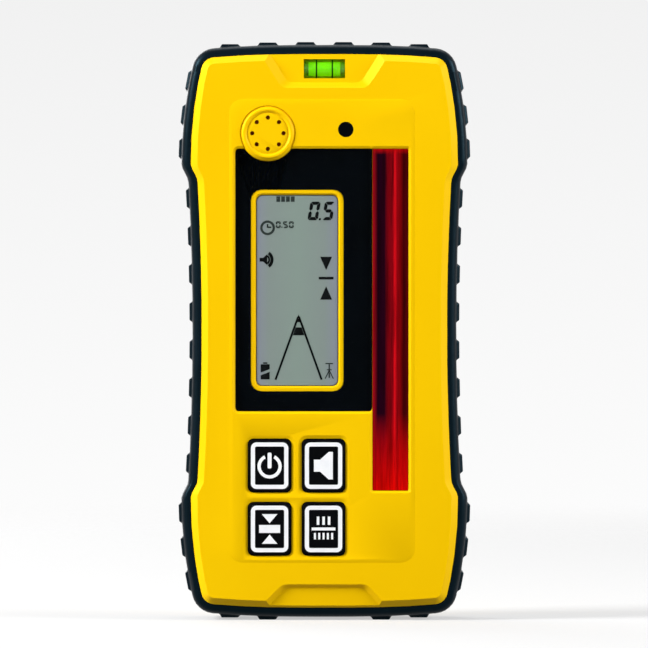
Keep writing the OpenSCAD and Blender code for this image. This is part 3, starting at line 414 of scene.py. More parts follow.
@dataclass(frozen=True, kw_only=True)
class Tracks(Finish):
    """A circuit board's lacquer with copper tracks under it.

    Attributes:
        colours: two shades of the lacquer between the tracks.
        track: colour of the lacquer over copper.
        pitch_mm: distance between tracks.
        track_share: half of a track's width as a share of the pitch.
        run_pitches: length of a straight run, in pitches.
    """

    colours: tuple[str, str]
    track: str = "#1f6b3a"
    pitch_mm: float = 2.6
    track_share: float = 0.09
    run_pitches: float = 4.0

    def colour_socket(self, tree: Tree, place: Socket) -> Socket:
        """Adds tracks that run in steps, as a pattern of narrow joints between offset bricks.

        Args:
            tree: the material's tree.
            place: Object coordinates.

        Returns:
            The base colour.
        """
        turned = add_node(tree, "Mapping", {"Rotation": (QUARTER_TURN, 0.0, 0.0)}, {"Vector": place})
        settings = {
            "Color1": linear(self.colours[0]),
            "Color2": linear(self.colours[1]),
            "Mortar": linear(self.track),
            "Scale": 1 / (self.pitch_mm * MM),
            "Mortar Size": self.track_share,
            "Brick Width": self.run_pitches,
            "Row Height": 1.0,
        }
        return add_node(tree, "TexBrick", settings, {"Vector": turned}).outputs[0]


# Moulded ABS with a fine spark texture: a broad soft gloss and a faint sand-like grain. The real
# grain is near 0.2 mm and is drawn coarser so that it shows.
YELLOW_ABS = PlainFinish(
    "moulded_yellow_abs", 0.4, 0.06, colours=("#f6c604", "#f3c203"), drift_mm=45.0,
    grain_mm=0.8, grain_depth_mm=0.006, specular=0.3, tint="#ffd21e", ior=1.53,
)
# Overmoulded thermoplastic rubber: near black with a bluish gloss and an even, fine grain.
BUMPER_RUBBER = PlainFinish(
    "overmoulded_black_rubber", 0.34, 0.07, colours=("#02070c", "#050c13"), drift_mm=12.0,
    grain_mm=0.6, grain_depth_mm=0.02, specular=0.15, tint="#78bcd8",
)
# Compression-moulded silicone: dark grey and quite dull.
SEAL_RUBBER = PlainFinish(
    "moulded_silicone_seal", 0.68, 0.06, colours=("#2b2e31", "#34383b"), grain_mm=0.5, ior=1.41,
)
# Silicone key caps: black with a satin skin.
KEY_RUBBER = PlainFinish(
    "moulded_silicone_key", 0.5, 0.06, colours=("#050608", "#08090c"),
    grain_mm=0.5, grain_depth_mm=0.006, specular=0.02, ior=1.41,
)
# Layered conductive and plain silicone: dark and pale stripes across the strip, drawn much coarser
# than the real layers so that they show.
CONTACT_RUBBER = AxisBands(
    "layered_contact_rubber", 0.6, start_mm=-20.0, length_mm=24.0, streak=0.02,
    stops=tuple((number / 5, code) for number, code in enumerate(("#16181a", "#c4b9a6") * 3)),
)
# Moulded glass-filled polyamide: matt black with a slightly cloudy skin.
BLACK_PLASTIC = PlainFinish(
    "moulded_black_polyamide", 0.55, 0.06, colours=("#101113", "#17191b"), grain_mm=0.6,
)
# Screen print on the plates behind the lenses and on the light pipe: an even, deep black with little
# gloss of its own.
BLACK_PRINT = PlainFinish(
    "screen_printed_black", 0.45, 0.05, colours=("#020406", "#03060a"),
    grain_mm=0.5, grain_depth_mm=0.002, specular=0.01,
)
# White two-part ink on silicone: an opaque, slightly chalky white.
WHITE_INK = PlainFinish(
    "printed_white_ink", 0.6, 0.05, colours=("#f7f8fb", "#f1f3f7"), drift_mm=3.0,
    grain_mm=0.4, grain_depth_mm=0.004, specular=0.3,
)
# Polished polycarbonate: clear, so that what lies behind shows through, with a faint clean gloss.
CLEAR_LENS = PlainFinish(
    "polished_clear_polycarbonate", 0.06, 0.02, colours=("#0a0d10", "#0c1013"), drift_mm=30.0,
    grain_mm=4.0, grain_depth_mm=0.0005, ior=1.58, specular=0.1, alpha=0.015,
)
# Extruded red filter acrylic with a fluted back: long streaks, two dark flutes of painted shade, one
# bright rib of painted highlight, and painted light at the cut ends where the light leaves the edge.
RED_ACRYLIC = AxisBands(
    "fluted_red_acrylic", 0.16, 0.03, grain_mm=1.5, grain_depth_mm=0.001, ior=1.49, specular=0.05,
    tint="#ff5040", start_mm=14.0, length_mm=10.3,
    # The dark and bright stops across the window are painted shade and painted highlights.
    stops=((0.0, "#a80c18"), (0.08, "#6a0614"), (0.14, "#0e0012"), (0.34, "#1a0214"), (0.42, "#700410"),
           (0.57, "#820410"), (0.63, "#d80e1a"), (0.69, "#8e0610"), (0.79, "#760408"), (0.87, "#380206"),
           (1.0, "#560406")),
    # These two ends are painted light, bright red at the foot and at the top.
    ends=(("#dc0604", 38.5, 60.0), ("#b80a08", 137.0, 135.2)),
    streak_mm=(0.9, 24.0), streak=0.035, shade=0.5,
)
# Reflective liquid crystal cell: a silvery green grey that turns bluer near its sides.
LCD_GLASS = AxisBands(
    "reflective_display_glass", 0.35, 0.03, grain_mm=0.5, grain_depth_mm=0.001, specular=0.05, ior=1.52,
    start_mm=-20.0, length_mm=24.0, streak=0.01,
    stops=((0.0, "#898f9d"), (0.16, "#84918d"), (0.5, "#85968e"), (0.84, "#84918d"), (1.0, "#858c9b")),
)
# The same glass in the display on the back, with its bands centred there.
REAR_GLASS = replace(LCD_GLASS, name="reflective_rear_display_glass", start_mm=-12.0)
# Driven display segments: dark, with the glass's faint gloss over them.
LCD_INK = PlainFinish(
    "dark_display_segment", 0.35, 0.03, colours=("#0b0e0e", "#111516"), drift_mm=4.0,
    grain_mm=0.4, grain_depth_mm=0.001, specular=0.02,
)
# Display segments that are only half driven, so they look grey.
LCD_FAINT = replace(LCD_INK, name="half_driven_display_segment", colours=("#2c3432", "#363e3b"))
# Cast daylight-blocking epoxy: almost black, with a deep violet tint and a clean gloss.
DIODE_EPOXY = PlainFinish(
    "cast_filter_epoxy", 0.15, 0.03, colours=("#120a18", "#1a0f22"), grain_mm=2.0, grain_depth_mm=0.002,
)
# Glass-epoxy laminate under green solder lacquer: a clear gloss over paler tracks.
BOARD_LAMINATE = Tracks(
    "lacquered_glass_epoxy", 0.3, colours=("#12492a", "#114226"), grain_mm=0.5, coat=0.4,
)
# Zinc-plated steel: pale grey with a slightly cloudy gloss.
STEEL = PlainFinish(
    "zinc_plated_steel", 0.34, 0.06, colours=("#b9bcc0", "#a7abb0"), drift_mm=2.0, metallic=1.0,
    grain_mm=0.3, grain_depth_mm=0.002,
)
# Nickel-plated spring steel: brighter and a little warmer, with a sharper gloss.
BRIGHT_STEEL = replace(
    STEEL, name="nickel_plated_spring_steel", roughness=0.22, rough_spread=0.05,
    colours=("#d2cfc8", "#c2beb6"),
)
# Turned brass: warm yellow metal with a fine, uneven gloss.
BRASS = PlainFinish(
    "turned_brass", 0.27, 0.06, colours=("#c9a24a", "#b58d3a"), drift_mm=1.5, metallic=1.0,
    grain_mm=0.3, grain_depth_mm=0.003,
)
# Thin damping film behind the grille: an orange brown that looks dark down in the holes.
DAMPING_FILM = PlainFinish(
    "woven_damping_film", 0.8, 0.05, colours=("#d0602c", "#bc5222"),
    grain_mm=0.4, grain_depth_mm=0.02, specular=0.1,
)
# Machined and polished acrylic tube: tinted green, partly clear, with a sharp gloss.
VIAL_ACRYLIC = PlainFinish(
    "polished_vial_acrylic", 0.05, 0.02, colours=("#80e012", "#76d80c"),
    grain_mm=3.0, grain_depth_mm=0.0005, ior=1.49, specular=0.3, alpha=0.26,
)
# Spirit dyed with a fluorescent green; painted emission makes it look brighter than a plain dye.
VIAL_LIQUID = PlainFinish(
    "fluorescent_green_spirit", 0.12, 0.03, colours=("#70e000", "#8aea04"), drift_mm=3.0,
    grain_mm=3.0, grain_depth_mm=0.0005, ior=1.36, specular=0.1, painted_glow=0.44,
)
# Printed rings on the tube: a dark green ink with little gloss.
VIAL_RING = PlainFinish(
    "printed_green_ring", 0.45, 0.05, colours=("#0a3c04", "#083203"), drift_mm=2.0,
    grain_mm=0.4, grain_depth_mm=0.002, specular=0.05,
)
# Turned dark green acrylic plugs at the vial's ends, with a soft gloss.
VIAL_PLUG = PlainFinish("turned_acrylic_plug", 0.3, colours=("#2c5a08", "#234806"), grain_mm=0.5)
# Polyimide flexible circuit: amber film with a soft gloss.
RIBBON_FILM = PlainFinish(
    "polyimide_film", 0.25, colours=("#a8620e", "#8f500a"), drift_mm=1.5, grain_mm=0.8,
)
# Shrunk label film on a dry cell: dark body, copper-coloured upper band, with a printed gloss.
CELL_JACKET = AxisBands(
    "shrunk_cell_jacket", 0.25, 0.03, grain_mm=1.2, grain_depth_mm=0.004, coat=0.3,
    axis=Axis.Z, start_mm=17.0, length_mm=58.0,
    stops=((0.0, "#1a1b1e"), (0.62, "#1f2023"), (0.66, "#a85c2a"), (1.0, "#b0642e")),
)
# Extruded silicone wire sleeve: dark red with a soft gloss.
LEAD_SLEEVE = PlainFinish("extruded_wire_sleeve", 0.45, colours=("#8c1410", "#7a100c"), drift_mm=3.0)


class Shape:
    """A flat shape on the XZ plane, whose sizes are in millimetres."""

    def draw(self, mesh: Mesh) -> Face | None:
        """Adds the shape to a mesh, and gives its face if it is a single one."""
        raise NotImplementedError


@dataclass(frozen=True)
class Patch(Shape):
    """A patch with a few corners."""

    corners: tuple[Point, ...]

    def draw(self, mesh: Mesh) -> Face:
        """Adds the patch to a mesh, and gives its face."""
        return mesh.faces.new([mesh.verts.new((x * MM, 0.0, z * MM)) for x, z in self.corners])


@dataclass(frozen=True)
class Bar(Shape):
    """A bar.

    Attributes:
        x: X of its middle, and z its Z.
        corner: radius of its corners, and corner_edges the number of edges round one.
    """

    x: float
    z: float
    width: float
    height: float
    corner: float = 0.0
    corner_edges: int = 5

    def draw(self, mesh: Mesh) -> Face:
        """Adds the bar to a mesh.

        Args:
            mesh: the mesh that takes it.

        Returns:
            The bar's face.
        """
        left, right = self.x - self.width / 2, self.x + self.width / 2
        low, high = self.z - self.height / 2, self.z + self.height / 2
        face = Patch(((left, low), (right, low), (right, high), (left, high))).draw(mesh)
        if self.corner > 0:
            bmesh.ops.bevel(
                mesh, geom=list(face.verts), offset=self.corner * MM, affect="VERTICES",
                segments=self.corner_edges, profile=0.5, material=-1,
            )
            middle = Vector((self.x * MM, 0.0, self.z * MM))
            face = min(mesh.faces, key=lambda f: (f.calc_center_median() - middle).length)
        return face


@dataclass(frozen=True, kw_only=True)
class Border(Bar):
    """A border, which is a bar whose inset middle is taken out, and line is its thickness."""

    line: float

    def draw(self, mesh: Mesh) -> None:
        """Adds the border to a mesh.

        Args:
            mesh: the mesh that takes it.
        """
        face = super().draw(mesh)
        bmesh.ops.inset_region(
            mesh, faces=[face], thickness=self.line * MM, use_even_offset=True, use_boundary=True
        )
        bmesh.ops.delete(mesh, geom=[face], context="FACES")


@dataclass(frozen=True)
class Arc(Shape):
    """An arc, or a whole ring.

    Attributes:
        x: X of its centre, and z its Z.
        radius: radius at the middle of its line.
        line: the line's width.
        start: first angle in degrees, from +X towards +Z.
        sweep: angle that it covers in degrees.
        step: angle of one of its edges, and least the fewest edges.
    """

    x: float
    z: float
    radius: float
    line: float
    start: float = 0.0
    sweep: float = FULL_TURN
    step: float = 9.0
    least: int = 6

    def draw(self, mesh: Mesh) -> None:
        """Spins the line's width round the centre.

        Args:
            mesh: the mesh that takes the arc.
        """
        turn = Matrix.Rotation(-math.radians(self.start), 4, "Y")
        middle = Vector((self.x * MM, 0.0, self.z * MM))
        radii = [(self.radius + side * self.line / 2) * MM for side in (-1, 1)]
        ends = [mesh.verts.new(middle + turn @ Vector((radius, 0.0, 0.0))) for radius in radii]
        edge = mesh.edges.new(ends)
        bmesh.ops.spin(
            mesh, geom=[edge, *ends], cent=middle, axis=(0.0, -1.0, 0.0), angle=math.radians(self.sweep),
            steps=max(self.least, round(self.sweep / self.step)), use_merge=self.sweep >= FULL_TURN,
        )


@dataclass(frozen=True)
class Stroke(Shape):
    """A straight line from start to end, and line is its width."""

    start: Point
    end: Point
    line: float

    def draw(self, mesh: Mesh) -> Face:
        """Adds the line to a mesh.

        Args:
            mesh: the mesh that takes it.

        Returns:
            The line's face.
        """
        a, b = Vector(self.start), Vector(self.end)
        side = (b - a).orthogonal().normalized() * self.line / 2
        return Patch((tuple(a - side), tuple(b - side), tuple(b + side), tuple(a + side))).draw(mesh)


@dataclass(frozen=True)
class Number(Shape):
    """A row of seven-bar figures.

    Attributes:
        figures: each figure, one of those in FIGURE_BARS, with the X of its middle.
        size: width and height of a figure.
        line: thickness of its bars.
        gap_share: gap at each end of a bar, as a share of that thickness.
        mitre: share of a bar's outer corners that is kept where the figure turns.
    """

    figures: tuple[tuple[str, float], ...]
    size: Point
    line: float
    gap_share: float = 0.05
    mitre: float = 0.45

    def draw(self, mesh: Mesh) -> None:
        """Adds the bars of each figure to a mesh.

        Args:
            mesh: the mesh that takes them.
        """
        w, h = ((side - self.line) / 2 for side in self.size)
        for figure, x in self.figures:
            for segment in FIGURE_BARS[figure]:
                across, up = segment.value
                lying = across == 0
                reach = (w if lying else h / 2) - self.line * self.gap_share
                outer = segment is not Segment.MIDDLE
                far = self.bar_end(reach, self.mitre if outer else 0.0)
                near = self.bar_end(reach, self.mitre if outer and lying else 0.0)
                tips = [*far, *((-a, b) for a, b in reversed(near))]
                right, top = math.copysign(1, across), math.copysign(1, up)
                spots = [(a, top * b) if lying else (right * b, top * a) for a, b in tips]
                Patch(tuple((x + across * w + a, up * h + b) for a, b in spots)).draw(mesh)

    def bar_end(self, reach: float, mitre: float) -> list[Point]:
        """Gives the end of a bar, which runs along the first axis.

        Args:
            reach: distance from the bar's middle to its end.
            mitre: share of the outer corner that is kept, from 0 for a pointed end to 1 for a mitred one.

        Returns:
            The end's corners, from the inner side of the figure to the outer one.
        """
        half = self.line / 2
        return [
            (reach - half, -half),
            (reach + mitre * half, mitre * half),
            (reach + (2 * mitre - 1) * half, half),
        ]


def arrow(tip: float, width: float, height: float) -> Patch:
    """Gives a triangle on the middle line, whose base is above the tip, or below at a negative height."""
    return Patch(((0.0, tip), (width / 2, tip + height), (-width / 2, tip + height)))


def mirrored(*half: Point) -> Patch:
    """Gives a patch from the corners of its upper or lower half, which the other half mirrors."""
    return Patch((*half, *((x, -z) for x, z in reversed(half))))


def legs(top: Point, foot: Point, line: float) -> tuple[Stroke, ...]:
    """Gives a pair of spread lines from the ends of the right one and their width."""
    return tuple(Stroke((side * top[0], top[1]), (side * foot[0], foot[1]), line) for side in (-1, 1))


def ticks(count: int, pitch: float, z: float, size: Point) -> tuple[Bar, ...]:
    """Gives a row of bars of one width and height, about the middle line."""
    return tuple(Bar((step - (count - 1) / 2) * pitch, z, *size) for step in range(count))


@dataclass(frozen=True)
class Sign:
    """A few shapes that make one sign.

    Attributes:
        place: X and Z that the shapes are measured from.
        slant: slant in degrees, as of italic figures.
    """

    shapes: tuple[Shape, ...]
    place: Point = (0.0, 0.0)
    slant: float = 0.0

    def draw(self, mesh: Mesh) -> None:
        """Adds the shapes to a mesh, slants them and moves them to their place.

        Args:
            mesh: the mesh that takes them.
        """
        earlier = set(mesh.verts)
        for shape in self.shapes:
            shape.draw(mesh)
        own = [vert for vert in mesh.verts if vert not in earlier]
        shear = Matrix.Identity(4)
        shear[0][2] = math.tan(math.radians(self.slant))
        x, z = self.place
        bmesh.ops.transform(mesh, matrix=Matrix.Translation((x * MM, 0.0, z * MM)) @ shear, verts=own)


@dataclass
class SignSheet:
    """Signs on an upright face of a CAD node, with a real thickness.

    Attributes:
        node: the CAD node that carries the signs, which are measured from its middle.
        facing: the side that they are read from.
        thickness: how far they stand proud.
    """

    name: str
    node: str
    facing: Facing = Facing.FRONT
    thickness: float = 0.03

    def build(self, finish: Finish, body: str, *signs: Sign) -> None:
        """Draws the signs, gives them their thickness and their place, and makes them a piece.

        Args:
            finish: the ink or segment.
            body: the CAD body that carries them.
            signs: the signs.
        """
        bm = bmesh.new()
        for sign in signs:
            sign.draw(bm)
        bmesh.ops.remove_doubles(bm, verts=bm.verts, dist=MERGE_M)
        raised = bmesh.ops.extrude_face_region(bm, geom=list(bm.faces))["geom"]
        step = Vector((0.0, self.facing.value * self.thickness * MM, 0.0))
        bmesh.ops.translate(bm, vec=step, verts=[g for g in raised if isinstance(g, bmesh.types.BMVert)])
        low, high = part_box(self.node)
        place = (low + high) / 2
        place.y = low.y
        if self.facing is Facing.BACK:
            bmesh.ops.scale(bm, vec=(-1.0, 1.0, 1.0), verts=bm.verts)
            place.y = high.y
        bmesh.ops.translate(bm, vec=place, verts=bm.verts)
        bmesh.ops.recalc_face_normals(bm, faces=bm.faces)
        piece = add_mesh(self.name, bm, finish.material())
        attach(piece, body)
        LOG.info("%s drawn on %s, in %s", self.name, self.node, finish.name)


@dataclass
class SubAssembly:
    """A group of CAD nodes and the pieces that finish them.

    Attributes:
        crease: angle in degrees above which an edge of a curve stays sharp.
        plane_crease: the same angle at the border of a plane.
        plane_width: breadth above which a flat face is a plane, and not a strip of a curve.
        flat_angle: angle in degrees below which two faces are one.
        round_angle: angle in degrees above which an edge is rounded.
        round_segments: number of faces across a rounded edge.
    """

    frame: dict
    crease: float = 26.0
    plane_crease: float = 6.0
    plane_width: float = 3.0
    flat_angle: float = 0.03
    round_angle: float = 32.0
    round_segments: int = 2

    def dress(self, finish: Finish, *nodes: str) -> None:
        """Gives CAD nodes a finish.

        Args:
            finish: the finish.
            nodes: names of the nodes.
        """
        for name in nodes:
            node = self.frame["nodes"][name]
            node.data.materials.clear()
            node.data.materials.append(finish.material())
            LOG.info("%s keeps its CAD shape, in %s", name, finish.name)

    def crisp(self, bm: Mesh) -> None:
        """Shades curves smoothly, and leaves planes and clear edges as they are.

        Args:
            bm: the merged mesh.
        """
        planes = set()
        for face in bm.faces:
            face.smooth = True
            around = sum(edge.calc_length() for edge in face.edges)
            if 2 * face.calc_area() > self.plane_width * MM * around:
                planes.add(face)
        for edge in bm.edges:
            limit = self.crease if planes.isdisjoint(edge.link_faces) else self.plane_crease
            edge.smooth = edge.calc_face_angle(math.pi) < math.radians(limit)

    def refine(self, node_name: str, finish: Finish, slot: str, edge: float = 0.0) -> None:
        """Makes a merged copy of a CAD node with clean shading, which stands for the node.

        Args:
            node_name: name of the node.
            finish: the finish.
            slot: the record's material slot, which is not used.
            edge: width of the rounded edges, or 0 to leave them sharp.
        """
        node = self.frame["nodes"][node_name]
        bm = bmesh.new()
        bm.from_mesh(node.data)
        bmesh.ops.remove_doubles(bm, verts=bm.verts, dist=MERGE_M)
        bmesh.ops.dissolve_limit(
            bm, angle_limit=math.radians(self.flat_angle), verts=bm.verts, edges=bm.edges,
            use_dissolve_boundaries=False,
        )
        self.crisp(bm)
        piece = add_mesh(node_name + "_finished", bm, finish.material())
        normals = piece.data.attributes.get("custom_normal")
        if normals is not None:
            piece.data.attributes.remove(normals)
        if edge > 0:
            round_edges = piece.modifiers.new("round_edges", "BEVEL")
            round_edges.width = edge * MM
            round_edges.segments = self.round_segments
            round_edges.limit_method = "ANGLE"
            round_edges.angle_limit = math.radians(self.round_angle)
            round_edges.harden_normals = True
        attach(piece, node["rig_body"])
        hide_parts(node_name)
        LOG.info("%s stands for %s, in %s", piece.name, node_name, finish.name)


@dataclass
class Case(SubAssembly):
    """The two shells, the seal and the screws."""

    edge: float = 0.35

    def build(self) -> None:
        """Rounds the moulded edges and dresses what joins the shells."""
        for node in ("front_housing", "rear_housing"):
            self.refine(node, YELLOW_ABS, "yellow_abs", self.edge)
        self.dress(SEAL_RUBBER, "housing_seal")
        self.refine("housing_screws", STEEL, "steel")


@dataclass
class Bumper(SubAssembly):
    """The rubber round the shells, whose rolled shoulder is one smooth curve."""

    crease: float = 32.0
    edge: float = 0.3

    def build(self) -> None:
        """Rounds the tread blocks and dresses the rubber."""
        for node in ("front_bumper", "rear_bumper"):
            self.refine(node, BUMPER_RUBBER, "bumper_rubber", self.edge)


@dataclass
class FrontDisplay(SubAssembly):
    """The lens, the black plate behind it and the liquid crystal cell with its signs.

    Attributes:
        level: the two level arrows with the level line between them.
        sound: a horn with two sound waves.
        rays: two long rays that meet at a small pointer.
    """

    level: Sign = Sign(
        (arrow(5.9, 3.45, 3.9), Bar(0.0, 3.6, 4.3, 0.75), arrow(1.25, 3.45, -3.9)), (8.4, 0.0)
    )
    sound: Sign = Sign(
        (
            mirrored((0.3, 1.6), (-0.9, 0.55), (-1.9, 0.55)),
            Arc(-0.7, 0.0, 1.55, 0.55, -48.0, 96.0),
            Arc(-0.7, 0.0, 2.4, 0.9, -54.0, 108.0),
        ),
        (-9.0, 8.95),
    )
    number: Sign = Sign(
        (Number((("0", 4.9), ("5", 9.1)), (3.0, 5.4), 0.95), Bar(7.0, -2.4, 0.6, 0.6)), (0.0, 23.1), 10.0
    )
    rays: Sign = Sign(
        (
            *legs((0.1, 0.0), (6.7, -18.3), 0.6),
            arrow(0.7, 1.5, -2.3),
            Patch(((-0.85, -3.1), (0.85, -3.1), (1.65, -5.4), (-1.65, -5.4))),
        ),
        (0.4, -7.6),
    )
    charge: Sign = Sign(
        (
            Patch(((-1.3, -2.4), (1.3, -2.4), (1.3, -0.2), (-1.3, -1.2))),
            Patch(((-1.3, -0.4), (1.3, 0.6), (1.3, 2.0), (-1.3, 2.0))),
            Bar(0.0, 2.35, 1.2, 0.4),
        ),
        (-9.3, -23.4),
    )
    clock: Sign = Sign(
        (
            Arc(0.0, 0.0, 1.8, 0.7),
            Stroke((0.0, 0.15), (1.1, 0.15), 0.45),
            Stroke((0.0, 0.0), (0.0, 1.1), 0.45),
        ),
        (-8.6, 18.2),
    )
    clock_number: Sign = Sign(
        (Number((("0", 3.1), ("5", 5.2), ("0", 6.9)), (1.45, 2.0), 0.5), Bar(4.15, -0.7, 0.36, 0.36)),
        (-8.6, 19.1),
    )
    top_ticks: Sign = Sign(ticks(4, 1.4, 0.0, (1.1, 1.6)), (-3.4, 26.55))
    stand: Sign = Sign(
        (
            Bar(0.0, 2.2, 2.2, 0.35),
            Bar(0.0, 0.0, 0.4, 4.0),
            Bar(0.0, 0.4, 1.4, 0.3),
            *legs((0.0, 0.2), (1.2, -2.2), 0.3),
        ),
        (9.3, -23.4),
    )

    def build(self) -> None:
        """Dresses the panel and puts the signs on the cell."""
        self.refine("display_lens", CLEAR_LENS, "clear_lens")
        self.dress(BLACK_PRINT, "display_mask")
        self.dress(LCD_GLASS, "display_cell")
        self.dress(BLACK_PLASTIC, "display_frame")
        self.dress(CONTACT_RUBBER, "display_contacts")
        dark = (self.level, self.sound, self.number, self.rays, self.charge)
        SignSheet("display_signs", "display_cell").build(LCD_INK, "case", *dark)
        faint = (self.clock, self.clock_number, self.top_ticks, self.stand)
        SignSheet("display_faint_signs", "display_cell").build(LCD_FAINT, "case", *faint)


@dataclass
class ReceiveWindow(SubAssembly):
    """The red filter, with the diodes in their dark box behind it."""

    edge: float = 0.15

    def build(self) -> None:
        """Dresses the window."""
        self.refine("red_filter", RED_ACRYLIC, "red_acrylic", self.edge)
        self.dress(BLACK_PLASTIC, "diode_shroud")
        self.dress(DIODE_EPOXY, "photodiodes")


@dataclass
class Keypad(SubAssembly):
    """The four keys with their printed signs, and the switches under them.

    Attributes:
        edge: width of the keys' rounded edges.
        power: the broken ring and bar of an on and off key.
        band: two arrows that meet at a band.
        scales: a bar between a coarse and a fine row of ticks.
    """

    edge: float = 0.45
    border: Sign = Sign((Border(0.0, 0.0, 10.85, 13.5, 1.6, line=1.2),))
    power: Sign = Sign((Arc(0.0, -0.2, 3.05, 0.95, 116.0, 308.0), Bar(0.0, 1.5, 1.15, 4.6, 0.4)))
    horn: Sign = Sign((mirrored((-2.8, -1.75), (-1.0, -1.75), (1.5, -4.0), (2.7, -4.0)),))
    band: Sign = Sign((Bar(0.0, 0.0, 6.1, 2.3), arrow(1.65, 4.5, 2.65), arrow(-1.65, 4.5, -2.65)))
    scales: Sign = Sign(
        (Bar(0.0, 0.0, 6.9, 0.85), *ticks(3, 1.6, 2.4, (0.75, 2.4)), *ticks(5, 1.25, -2.1, (0.6, 1.9)))
    )

    def build(self) -> None:
        """Rounds the keys and prints on them."""
        signs = {
            "power_key": self.power,
            "volume_key": self.horn,
            "precision_key": self.band,
            "units_key": self.scales,
        }
        for node, sign in signs.items():
            self.refine(node, KEY_RUBBER, "key_rubber", self.edge)
            SignSheet(node + "_print", node).build(WHITE_INK, node, self.border, sign)
        self.dress(SEAL_RUBBER, "keypad_mat")
        self.dress(BRIGHT_STEEL, "snap_domes")


@dataclass
class Speaker(SubAssembly):
    """The grille, its film and the buzzer."""

    edge: float = 0.2

    def build(self) -> None:
        """Dresses the speaker."""
        self.refine("speaker_grille", YELLOW_ABS, "yellow_abs", self.edge)
        self.dress(DAMPING_FILM, "speaker_membrane")
        self.dress(BLACK_PLASTIC, "buzzer")


@dataclass
class LightSensor(SubAssembly):
    """The dark light pipe in the face and the sensor on the board."""

    edge: float = 0.15

    def build(self) -> None:
        """Dresses the sensor."""
        self.refine("light_pipe", BLACK_PRINT, "black_print", self.edge)
        self.dress(DIODE_EPOXY, "light_sensor")


class LevelVial(SubAssembly):
    """The tube, its liquid, plugs and lines."""

    def build(self) -> None:
        """Dresses the vial."""
        self.refine("vial_tube", VIAL_ACRYLIC, "vial_acrylic")
        self.refine("vial_liquid", VIAL_LIQUID, "vial_liquid")
        self.refine("vial_plugs", VIAL_PLUG, "vial_plug")
        self.refine("vial_lines", VIAL_RING, "black_print")


@dataclass
class RearDisplay(SubAssembly):
    """The small second display on the back, and level is the sign on it."""

    level: Sign = Sign((arrow(3.2, 6.0, 5.4), Bar(0.0, 0.0, 9.0, 1.1), arrow(-3.2, 6.0, -5.4)))

    def build(self) -> None:
        """Dresses the panel and puts its sign on the cell."""
        self.refine("rear_lens", CLEAR_LENS, "clear_lens")
        self.dress(BLACK_PRINT, "rear_mask")
        self.dress(REAR_GLASS, "rear_cell")
        self.dress(BOARD_LAMINATE, "rear_board")
        self.dress(RIBBON_FILM, "display_ribbon")
        SignSheet("rear_display_signs", "rear_cell", Facing.BACK).build(LCD_INK, "case", self.level)


class Electronics(SubAssembly):
    """The main board with its parts."""

    def build(self) -> None:
        """Dresses the board."""
        self.dress(BOARD_LAMINATE, "main_board")
        self.dress(BLACK_PLASTIC, "board_chips")
        self.dress(STEEL, "board_screws")


@dataclass
class ClampMount(SubAssembly):
    """The brass thread for the rod clamp."""

    edge: float = 0.2

    def build(self) -> None:
        """Dresses the insert."""
        self.refine("clamp_insert", BRASS, "brass", self.edge)


@dataclass
class BatteryBay(SubAssembly):
    """The door on its pin, and the cells with their contacts."""

    edge: float = 0.3
    cell_edge: float = 0.25

    def build(self) -> None:
        """Dresses the bay."""
        self.refine("battery_door", YELLOW_ABS, "yellow_abs", self.edge)
        self.dress(SEAL_RUBBER, "battery_door_seal")
        self.dress(BRIGHT_STEEL, "hinge_pin", "contact_plates")
        for cell in ("battery_cell_left", "battery_cell_right"):
            self.refine(cell, CELL_JACKET, "cell_jacket", self.cell_edge)
        self.refine("contact_springs", BRIGHT_STEEL, "bright_steel")
        self.refine("battery_leads", LEAD_SLEEVE, "lead_sleeve")


@dataclass(frozen=True)
class Lamp:
    """A soft square studio lamp with white light.

    Attributes:
        place: where it stands, in millimetres.
        size: width of its square.
    """

    name: str
    place: tuple[float, float, float]
    size: float
    watts: float

    def build(self, aim: Vector) -> None:
        """Sets the lamp up.

        Args:
            aim: the point that it faces, in metres.
        """
        data = bpy.data.lights.new(self.name, "AREA")
        data.size = self.size * MM
        data.energy = self.watts
        lamp = add_object(self.name, data)
        lamp.location = Vector(self.place) * MM
        lamp.rotation_mode = "QUATERNION"
        lamp.rotation_quaternion = (aim - lamp.location).to_track_quat("-Z", "Y")
        LOG.info("%s lights the case", self.name)


